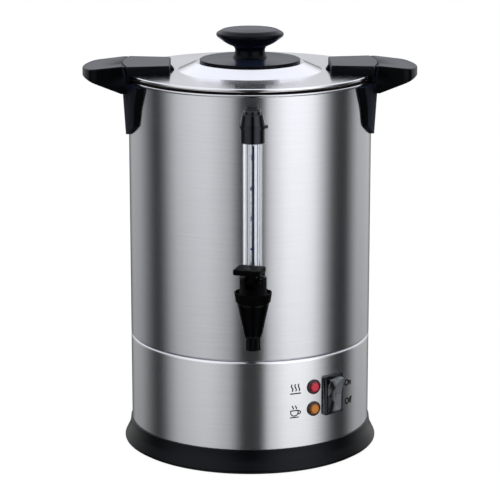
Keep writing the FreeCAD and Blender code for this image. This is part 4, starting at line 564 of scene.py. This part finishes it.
def turnedPiece(name, material, segments, closed, axis=(0, 0)):
    # the section turned about the upright line through axis, from the CAD node's foot up
    section = roundedProfile(turned[name], closed=closed, support=0.35)
    mesh = latheMesh(name + "Turned", section, segments, closed=closed, base=(*axis, nodeEnds(name)[0][2]))
    return standIn(name + "Turned", name, finishMesh(mesh, material))


turnedPiece("base_ring", baseAbs, 224, True)
turnedPiece("knob_base", handleAbs, 160, False)
turnedPiece("lid_knob", handleAbs, 128, False)
turnedPiece("gauge_tube", tubeAcrylic, 96, True, gaugeAxis)
turnedPiece("gauge_cap", glossAbs, 96, True, gaugeAxis)
turnedPiece("gauge_plug", glossAbs, 64, False, gaugeAxis)
print("turned parts made")


# Pilot lamps: a domed lens with a rim, on the shell's front right. Colours at the rim, for its painted
# shade, and in the middle, for its painted glow

lamp = {
    "azimuth": 30.1, "size": 6.75, "rim": 1.4, "dome": 1.6, "domeRadius": 5.35, "crownRadius": 3.4,
    "neck": 4.8, "neckLength": 7.0, "sunk": 0.35,
}
lampColours = {"heating_lamp_lens": ("#240308", "#d8304c"), "warm_lamp_lens": ("#280a02", "#d8862f")}


def onShell(azimuth, height):
    # a point on the urn's wall: azimuth is turned from -Y towards +X
    turn = math.radians(azimuth)
    return np.array([sheet["radius"] * math.sin(turn), -sheet["radius"] * math.cos(turn), height])


def lampMesh(name, height):
    # the lens's section turned about the line straight out from the shell; its foot is sunk into the wall
    rim, size, neck, sunk = lamp["rim"], lamp["size"], lamp["neck"], lamp["sunk"]
    top = rim + lamp["dome"]
    section = roundedProfile([
        (0, top, 0), (lamp["crownRadius"], top, 1.6), (lamp["domeRadius"], rim, 0.1), (size, rim, 0.7),
        (size, -sunk, 0), (neck, -sunk, 0), (neck, -lamp["neckLength"], 0.3), (0, -lamp["neckLength"], 0)],
        closed=False)
    out = onShell(lamp["azimuth"], 0) / sheet["radius"]
    foot = onShell(lamp["azimuth"], height)
    return latheMesh(name + "Dome", section, 72, closed=False, base=foot, axis=out)


for name, colours in lampColours.items():
    height = middleHeight(name)
    centre = onShell(lamp["azimuth"], height) * mm
    lens = lampPlastic(name + "Tint", centre, (math.radians(90), 0, math.radians(lamp["azimuth"])), colours)
    standIn(name + "Dome", name, finishMesh(lampMesh(name, height), lens))
print("lamps made")


# Printed marks: thin closed inks laid on the shell and on the gauge tube

marks = {
    "thickness": 0.05, "lift": 0.02,
    # word, azimuth, height above the switch's middle
    "switchWords": (("On", 52.6, 3.1), ("Off", 53.0, -14.3)), "wordSize": 8.0, "wordBold": 0.28,
    "symbolAzimuth": 20.6, "symbolSize": 1.25, "heatStroke": 1.1, "cupStroke": 1.0,
    "litres": ((7, 291.0), (6, 264.4), (5, 237.7), (4, 211.0)), "scaleAzimuth": -6.0,
    "digitSize": 5.6, "digitBold": 0.12, "digitDrop": 2.0,
    "tickWidth": 2.6, "tickStroke": 0.45, "tickStart": 1.6, "halfLitre": 13.3,
    "stripe": (183.0, 301.0), "stripeWidth": 1.5, "stripeAzimuth": 4.0,
}


def wrapped(flat, radius, azimuth, height, axis=(0, 0)):
    # rolls flat places (across, up, out) in mm onto a wall: the angle is azimuth + across / radius,
    # and the reach from the wall's axis is radius + lift + out
    turn = math.radians(azimuth) + flat[..., 0] / radius
    reach = radius + marks["lift"] + flat[..., 2]
    across, ahead = axis[0] + reach * np.sin(turn), axis[1] - reach * np.cos(turn)
    return np.stack([across, ahead, height + flat[..., 1]], axis=-1) * mm


def inkLine(name, path, width):
    # a flat strip carried along a path: place + side * width / 2 * normal, closed over the top, the
    # bottom and both ends. It comes back as flat places, for wrapped()
    path = np.array(path, dtype=float)
    along = np.gradient(path, axis=0)
    along /= np.linalg.norm(along, axis=1, keepdims=True)
    across = np.stack([-along[:, 1], along[:, 0]], axis=1)
    side = np.array([-0.5, 0.5, 0.5, -0.5])[None, :, None]
    out = np.array([0.0, 0.0, 1.0, 1.0]) * marks["thickness"]
    ring = path[:, None, :] + side * width * across[:, None, :]
    rows = np.concatenate([ring, np.broadcast_to(out[None, :, None], (*ring.shape[:2], 1))], axis=2)
    ends = rows.mean(axis=1, keepdims=True) + 0 * rows
    return np.concatenate([ends[:1], rows, ends[-1:]])


def addInk(name, strips, radius, azimuth, height, material, body, slot, axis=(0, 0)):
    # flat strips rolled onto the wall and kept as one piece
    rolled = [wrapped(strip, radius, azimuth, height, axis) for strip in strips]
    meshes = [gridMesh(name, points, closedV=True) for points in rolled]
    return addPiece(name, finishMesh(joinMeshes(name, meshes), material), body)


def inkWord(name, text, size, bold, radius, azimuth, height, material, body, slot, axis=(0, 0)):
    # letters as a thin solid, cut into narrow upright bands so that they bend round the wall
    curve = bpy.data.curves.new(name, "FONT")
    curve.body = text
    curve.size = size
    curve.align_x = "CENTER"
    curve.extrude = marks["thickness"] / 2
    curve.offset = bold
    carrier = bpy.data.objects.new(name, curve)
    bpy.context.scene.collection.objects.link(carrier)
    bpy.context.view_layer.update()
    mesh = bpy.data.meshes.new_from_object(carrier)
    bpy.data.objects.remove(carrier)
    work = bmesh.new()
    work.from_mesh(mesh)
    bmesh.ops.remove_doubles(work, verts=work.verts, dist=1e-5)
    reach = size * len(text) / 2
    for cut in np.arange(-reach, reach, min(0.06 * radius, 1.0)):
        everything = work.verts[:] + work.edges[:] + work.faces[:]
        bmesh.ops.bisect_plane(work, geom=everything, plane_co=(cut, 0, 0), plane_no=(1, 0, 0))
    work.to_mesh(mesh)
    work.free()
    flat = vertexPlaces(mesh).astype(float)
    flat[:, 2] += marks["thickness"] / 2
    mesh.vertices.foreach_set("co", wrapped(flat, radius, azimuth, height, axis).astype(np.float32).ravel())
    mesh.update()
    return addPiece(name, finishMesh(mesh, material, 20), body)


shellInk = (blackInk, nodeBody["base_shell"], nodeSlot["base_shell"])
for word, azimuth, above in marks["switchWords"]:
    inkWord("switchWord" + word, word, marks["wordSize"], marks["wordBold"], sheet["radius"], azimuth,
            middleHeight("switch_frame") + above, *shellInk)

# Three rising waves over a bar stand for heating, and a steaming cup for keeping warm
rise = np.linspace(0, 1, 40)
sway = np.sin(2 * math.pi * rise)
waves = [np.stack([x + 0.55 * sway, -1.6 + 5.4 * rise], axis=1) for x in (-2.6, 0.0, 2.6)]
bar = np.stack([-4.2 + 8.4 * rise, 0 * rise - 3.2], axis=1)
heat = [inkLine("wave", marks["symbolSize"] * path, marks["heatStroke"]) for path in waves + [bar]]
addInk("heatingSymbol", heat, sheet["radius"], marks["symbolAzimuth"],
       middleHeight("heating_lamp_lens"), *shellInk)
turn = np.linspace(0, math.pi, 40)
bowl = np.stack([-0.8 - 2.9 * np.cos(turn), 0.4 - 3.9 * np.sin(turn) ** 0.6], axis=1)
brim = np.stack([-3.9 + 6.2 * rise, 0 * rise + 0.4], axis=1)
handle = np.stack([2.2 + 1.7 * np.sin(turn), -1.1 + 1.2 * np.cos(turn)], axis=1)
steam = [np.stack([x + 0.4 * sway, 1.5 + 2.7 * rise], axis=1) for x in (-2.0, 0.4)]
saucer = np.stack([-4.2 + 6.8 * rise, 0 * rise - 4.6], axis=1)
cupPaths = [bowl, brim, handle, saucer] + steam
cup = [inkLine("cup", marks["symbolSize"] * path, marks["cupStroke"]) for path in cupPaths]
addInk("keepWarmSymbol", cup, sheet["radius"], marks["symbolAzimuth"],
       middleHeight("warm_lamp_lens"), *shellInk)

# Litre numbers with a tick beside each and another half a litre below, and a stripe behind them
tubeRadius = tubeHigh[0]
tubeInk = (blueInk, nodeBody["gauge_tube"], nodeSlot["gauge_tube"], gaugeAxis)
for litres, height in marks["litres"]:
    inkWord("gaugeNumber%d" % litres, str(litres), marks["digitSize"], marks["digitBold"], tubeRadius,
            marks["scaleAzimuth"], height - marks["digitDrop"], *tubeInk)
half = marks["tickWidth"] / 2
halfTicks = [
    np.stack([np.linspace(-half, half, 12), np.full(12, height - marks["halfLitre"])], axis=1)
    for _, height in marks["litres"]]
fullTicks = [
    np.stack([np.linspace(0, half, 8) + marks["tickStart"], np.full(8, height)], axis=1)
    for _, height in marks["litres"]]
addInk("gaugeTicks", [inkLine("tick", path, marks["tickStroke"]) for path in halfTicks + fullTicks],
       tubeRadius, marks["scaleAzimuth"], 0.0, *tubeInk)
stripeLow, stripeHigh = marks["stripe"]
stripe = np.stack([0 * rise, stripeLow + (stripeHigh - stripeLow) * rise], axis=1)
addInk("gaugeStripe", [inkLine("stripe", stripe, marks["stripeWidth"])],
       tubeRadius, marks["stripeAzimuth"], 0.0, darkBlueInk, *tubeInk[1:])
print("marks printed")


# Everything else keeps the CAD's shape under its own finish; what isn't named here is zinc-plated

finishOf = {
    insideSteel: ("coffee_basket", "basket_spreader", "pump_stem", "heater_clamp", "bottom_plate"),
    gripAbs: ("handle_left", "handle_right"),
    handleAbs: ("lid_ear_left", "lid_ear_right"),
    tapAbs: ("tap_shank", "tap_body", "shank_nut"),
    leverAbs: ("tap_bonnet", "tap_lever"),
    blackSteel: ("lever_pin", "tap_stem"),
    glossAbs: ("gauge_clip", "switch_frame", "inlet_frame", "inlet_socket"),
    rockerSmoke: ("switch_rocker",),
    whiteNylon: ("heating_lamp_body", "warm_lamp_body", "terminal_block"),
    lidRubber: ("lid_seal",),
    siliconeSeal: ("handle_seals", "shank_outer_seal", "shank_inner_seal", "seat_cup", "gauge_lower_seal"),
    rubberFoot: ("foot_ring",),
    springSteel: ("tap_spring",),
    castAluminium: ("main_heater", "keep_warm_heater", "boil_thermostat", "thermal_cutout"),
    brassPart: ("switch_terminals", "inlet_pins"),
    wireSilicone: ("internal_wiring",),
}
finishes = {name: material for material, names in finishOf.items() for name in names}
made = {name for piece in bpy.data.objects for name in piece.get("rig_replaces", [])}
for name in nodes:
    if name not in made:
        copyNode(name, finishes.get(name, zincSteel))

# The slit between ear and handle is a groove one can see: the ear's outer face keeps back from the handle
groove = {"depth": 0.9, "reach": 0.3}
for name in ("lid_ear_left", "lid_ear_right"):
    skin = bpy.data.objects[name + "Skin"].data
    # place -> place * (1 - depth / radius) on the outer face
    places = vertexPlaces(skin)
    radius = np.hypot(places[:, 0], places[:, 1])
    outer = radius > radius.max() - groove["reach"] * mm
    places[outer, :2] *= (1 - groove["depth"] * mm / radius[outer])[:, None]
    skin.vertices.foreach_set("co", places.ravel())
    skin.update()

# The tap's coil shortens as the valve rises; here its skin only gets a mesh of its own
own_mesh(bpy.data.objects["tap_springSkin"])
print("nodes dressed")


# Studio: soft boxes that the metal mirrors, as bands round the horizon. Angles in degrees

studio = {
    "dark": 0.04,        # black cloth between the boxes
    "top": 1.30,         # ceiling light
    "topTint": (0.97, 0.985, 1.04),
    "topLean": 15.0,     # it leans back, so that it begins lower behind the urn than before it
    "topStart": 9.8,     # elevation where it begins at the sides
    "topSoft": 28.5,     # and how much higher it is full
    "floor": 0.80,       # floor colour under its own light
    "lift": 0.93,        # how much of the floor the camera sees as plain white
    "white": 1.03,       # that white, a little over 1 so that it meets the background unseen
    "ambient": 0.62,
}
# name: where the band begins, is full, is full no more and ends, round from the camera; its brightness
boxes = {
    "rightBox": (9, 38, 46, 94, 0.65), "rightFront": (8, 18, 56, 86, 0.64),
    "leftBox": (-104, -44, -44, -6, 0.41), "leftFront": (-98, -70, -22, -6, 0.40),
    "backRight": (98, 126, 150, 172, 0.47), "backLeft": (-172, -150, -136, -98, 0.38),
}
# the boxes are brighter towards their upper edges, and again low down, where the white table lies:
# elevation, and the share of the brightness
fade = {"table": (-50.0, 0.90), "low": (-34.0, 0.10), "high": (-4.0, 1.45)}


def mirroredRays(tree, path):
    # 1 for what is seen in or through something shiny, else 0
    glossy, through = path.outputs["Is Glossy Ray"], path.outputs["Is Transmission Ray"]
    return addNode(tree, "ShaderNodeMath", {0: glossy, 1: through}, operation="MAXIMUM").outputs[0]


def makeWorld():
    # azimuth is atan2(x, -y), turned from the camera's side, and height is the sine of the elevation
    world = bpy.data.worlds.new("studio")
    bpy.context.scene.world = world
    world.use_nodes = True
    world.cycles.sampling_method = "NONE"  # the boxes are met only by mirrored rays, not picked as lamps
    tree = world.node_tree
    tree.nodes.clear()
    direction = addNode(tree, "ShaderNodeTexCoord").outputs["Generated"]
    split = addNode(tree, "ShaderNodeSeparateXYZ", {0: direction})
    height = split.outputs["Z"]
    ahead = addNode(tree, "ShaderNodeMath", {0: split.outputs["Y"], 1: -1.0}, operation="MULTIPLY")
    azimuth = addNode(tree, "ShaderNodeMath", {
        0: split.outputs["X"], 1: ahead.outputs[0]}, operation="ARCTAN2").outputs[0]
    lean, topStart = math.radians(studio["topLean"]), studio["topStart"]
    leaning = addNode(tree, "ShaderNodeVectorMath", {
        0: direction, 1: (0, math.sin(lean), math.cos(lean))}, operation="DOT_PRODUCT").outputs["Value"]
    topFrom, topTo = [math.sin(math.radians(angle)) for angle in (topStart, topStart + studio["topSoft"])]
    (tableAt, tableShare), (lowAt, lowShare), (highAt, highShare) = [
        (math.sin(math.radians(angle)), share) for angle, share in fade.values()]
    # soft steps, each from low to high as its value goes from start to end: (value, start, end, low, high)
    steps = []
    for *corners, brightness in boxes.values():
        begins, full, ends, stops = [math.radians(corner) for corner in corners]
        steps += [(azimuth, begins, full, 0.0, brightness), (azimuth, ends, stops, 1.0, 0.0)]
    steps += [
        (height, lowAt, highAt, lowShare, highShare), (height, tableAt, lowAt, tableShare - lowShare, 0.0),
        (leaning, topFrom, topTo, 0.0, 1.0)]
    *sides, above, below, overhead = [addNode(tree, "ShaderNodeMapRange", {
        "Value": value, "From Min": start, "From Max": end, "To Min": low, "To Max": high},
        interpolation_type="SMOOTHSTEP").outputs[0] for value, start, end, low, high in steps]
    # level is the sum over the boxes of entering * leaving, and the share follows the height
    level = studio["dark"]
    for entering, leaving in zip(sides[::2], sides[1::2]):
        level = addNode(tree, "ShaderNodeMath", {
            0: entering, 1: leaving, 2: level}, operation="MULTIPLY_ADD").outputs[0]
    share = addNode(tree, "ShaderNodeMath", {0: above, 1: below}, operation="ADD").outputs[0]
    level = addNode(tree, "ShaderNodeMath", {0: level, 1: share}, operation="MULTIPLY").outputs[0]
    level = addNode(tree, "ShaderNodeMix", {0: overhead, 2: level, 3: studio["top"]}).outputs[0]
    cool = addNode(tree, "ShaderNodeMixRGB", {
        "Fac": overhead, "Color1": (1, 1, 1, 1), "Color2": (*studio["topTint"], 1)}).outputs[0]
    path = addNode(tree, "ShaderNodeLightPath")
    mirrored = mirroredRays(tree, path)
    unseen = addNode(tree, "ShaderNodeMix", {0: mirrored, 2: studio["ambient"], 3: level}).outputs[0]
    strength = addNode(tree, "ShaderNodeMix", {
        0: path.outputs["Is Camera Ray"], 2: unseen, 3: 1.0}).outputs[0]
    tint = addNode(tree, "ShaderNodeMixRGB", {"Fac": mirrored, "Color1": (1, 1, 1, 1), "Color2": cool})
    shown = addNode(tree, "ShaderNodeBackground", {"Color": tint.outputs[0], "Strength": strength})
    addNode(tree, "ShaderNodeOutputWorld", {"Surface": shown.outputs[0]})


def makeFloor():
    # a round sheet of white paper: (radius * cos(turn), radius * sin(turn)), with rings that lie closer
    # towards the middle. Mirrored rays pass through it to the studio's lower half
    rings, around, reach = 24, 96, 9.0
    radius = np.linspace(0, 1, rings)[:, None] ** 2 * reach
    turn = np.linspace(0, 2 * math.pi, around, endpoint=False)[None, :]
    points = np.stack([radius * np.cos(turn), radius * np.sin(turn), 0 * radius * turn - 0.1 * mm], axis=-1)
    mesh = gridMesh("paperFloor", points, closedV=True)
    material, tree, shader = newMaterial("whitePaper", **{
        "Base Color": (studio["floor"],) * 3 + (1,), "Roughness": 0.9})
    path = addNode(tree, "ShaderNodeLightPath")
    glow = addNode(tree, "ShaderNodeEmission", {
        "Color": (1, 1, 1, 1), "Strength": studio["white"]}).outputs[0]
    paper = addNode(tree, "ShaderNodeBsdfDiffuse", {"Color": (1, 1, 1, 1)}).outputs[0]
    lifted = addNode(tree, "ShaderNodeMixShader", {0: studio["lift"], 1: paper, 2: glow}).outputs[0]
    seen = addNode(tree, "ShaderNodeMixShader", {
        0: path.outputs["Is Camera Ray"], 1: shader.outputs[0], 2: lifted}).outputs[0]
    clear = addNode(tree, "ShaderNodeBsdfTransparent").outputs[0]
    both = addNode(tree, "ShaderNodeMixShader", {0: mirroredRays(tree, path), 1: seen, 2: clear}).outputs[0]
    tree.links.new(both, tree.nodes["Material Output"].inputs["Surface"])
    floor = bpy.data.objects.new("paperFloor", finishMesh(mesh, material))
    bpy.context.scene.collection.objects.link(floor)


# name: place, width, height, power, in metres and watts
softboxes = {
    "leftSoftbox": ((-1.6, -1.5, 1.2), 0.9, 1.4, 10),
    "rightSoftbox": ((1.6, -1.5, 1.2), 0.9, 1.4, 13),
    "overhead": ((0.0, 0.3, 2.2), 1.4, 1.4, 9),
}
softboxAim = (0, 0, 0.2)


def addSoftbox(name, place, width, height, power):
    # a rectangular lamp looking at the aim: tilt atan2(level distance, drop), turn atan2(-across, ahead)
    data = bpy.data.lights.new(name, "AREA")
    data.shape = "RECTANGLE"
    data.size = width
    data.size_y = height
    data.energy = power
    light = bpy.data.objects.new(name, data)
    light.location = place
    across, ahead, down = np.array(softboxAim) - np.array(place)
    light.rotation_euler = (math.atan2(math.hypot(across, ahead), -down), 0, math.atan2(-across, ahead))
    light.visible_glossy = False
    bpy.context.scene.collection.objects.link(light)


camera = {
    "distance": 2.0, "height": 655.4 * mm, "turn": -1.0, "pitch": 13.412, "lens": 160.6, "sensor": 36.0}


def makeCamera():
    # on a circle round the urn, at (sin(turn), -cos(turn)) * distance, looking down by the pitch
    data = bpy.data.cameras.new("photoCamera")
    data.lens = camera["lens"]
    data.sensor_width = camera["sensor"]
    data.clip_end = 30
    seat = bpy.data.objects.new("photoCamera", data)
    turn = math.radians(camera["turn"])
    distance, height = camera["distance"], camera["height"]
    seat.location = (distance * math.sin(turn), -distance * math.cos(turn), height)
    seat.rotation_euler = (math.radians(90 - camera["pitch"]), 0, turn)
    bpy.context.scene.collection.objects.link(seat)
    bpy.context.scene.camera = seat


makeWorld()
makeFloor()
for name, values in softboxes.items():
    addSoftbox(name, *values)
makeCamera()
bpy.context.scene.view_settings.view_transform = "Standard"
print("studio set")
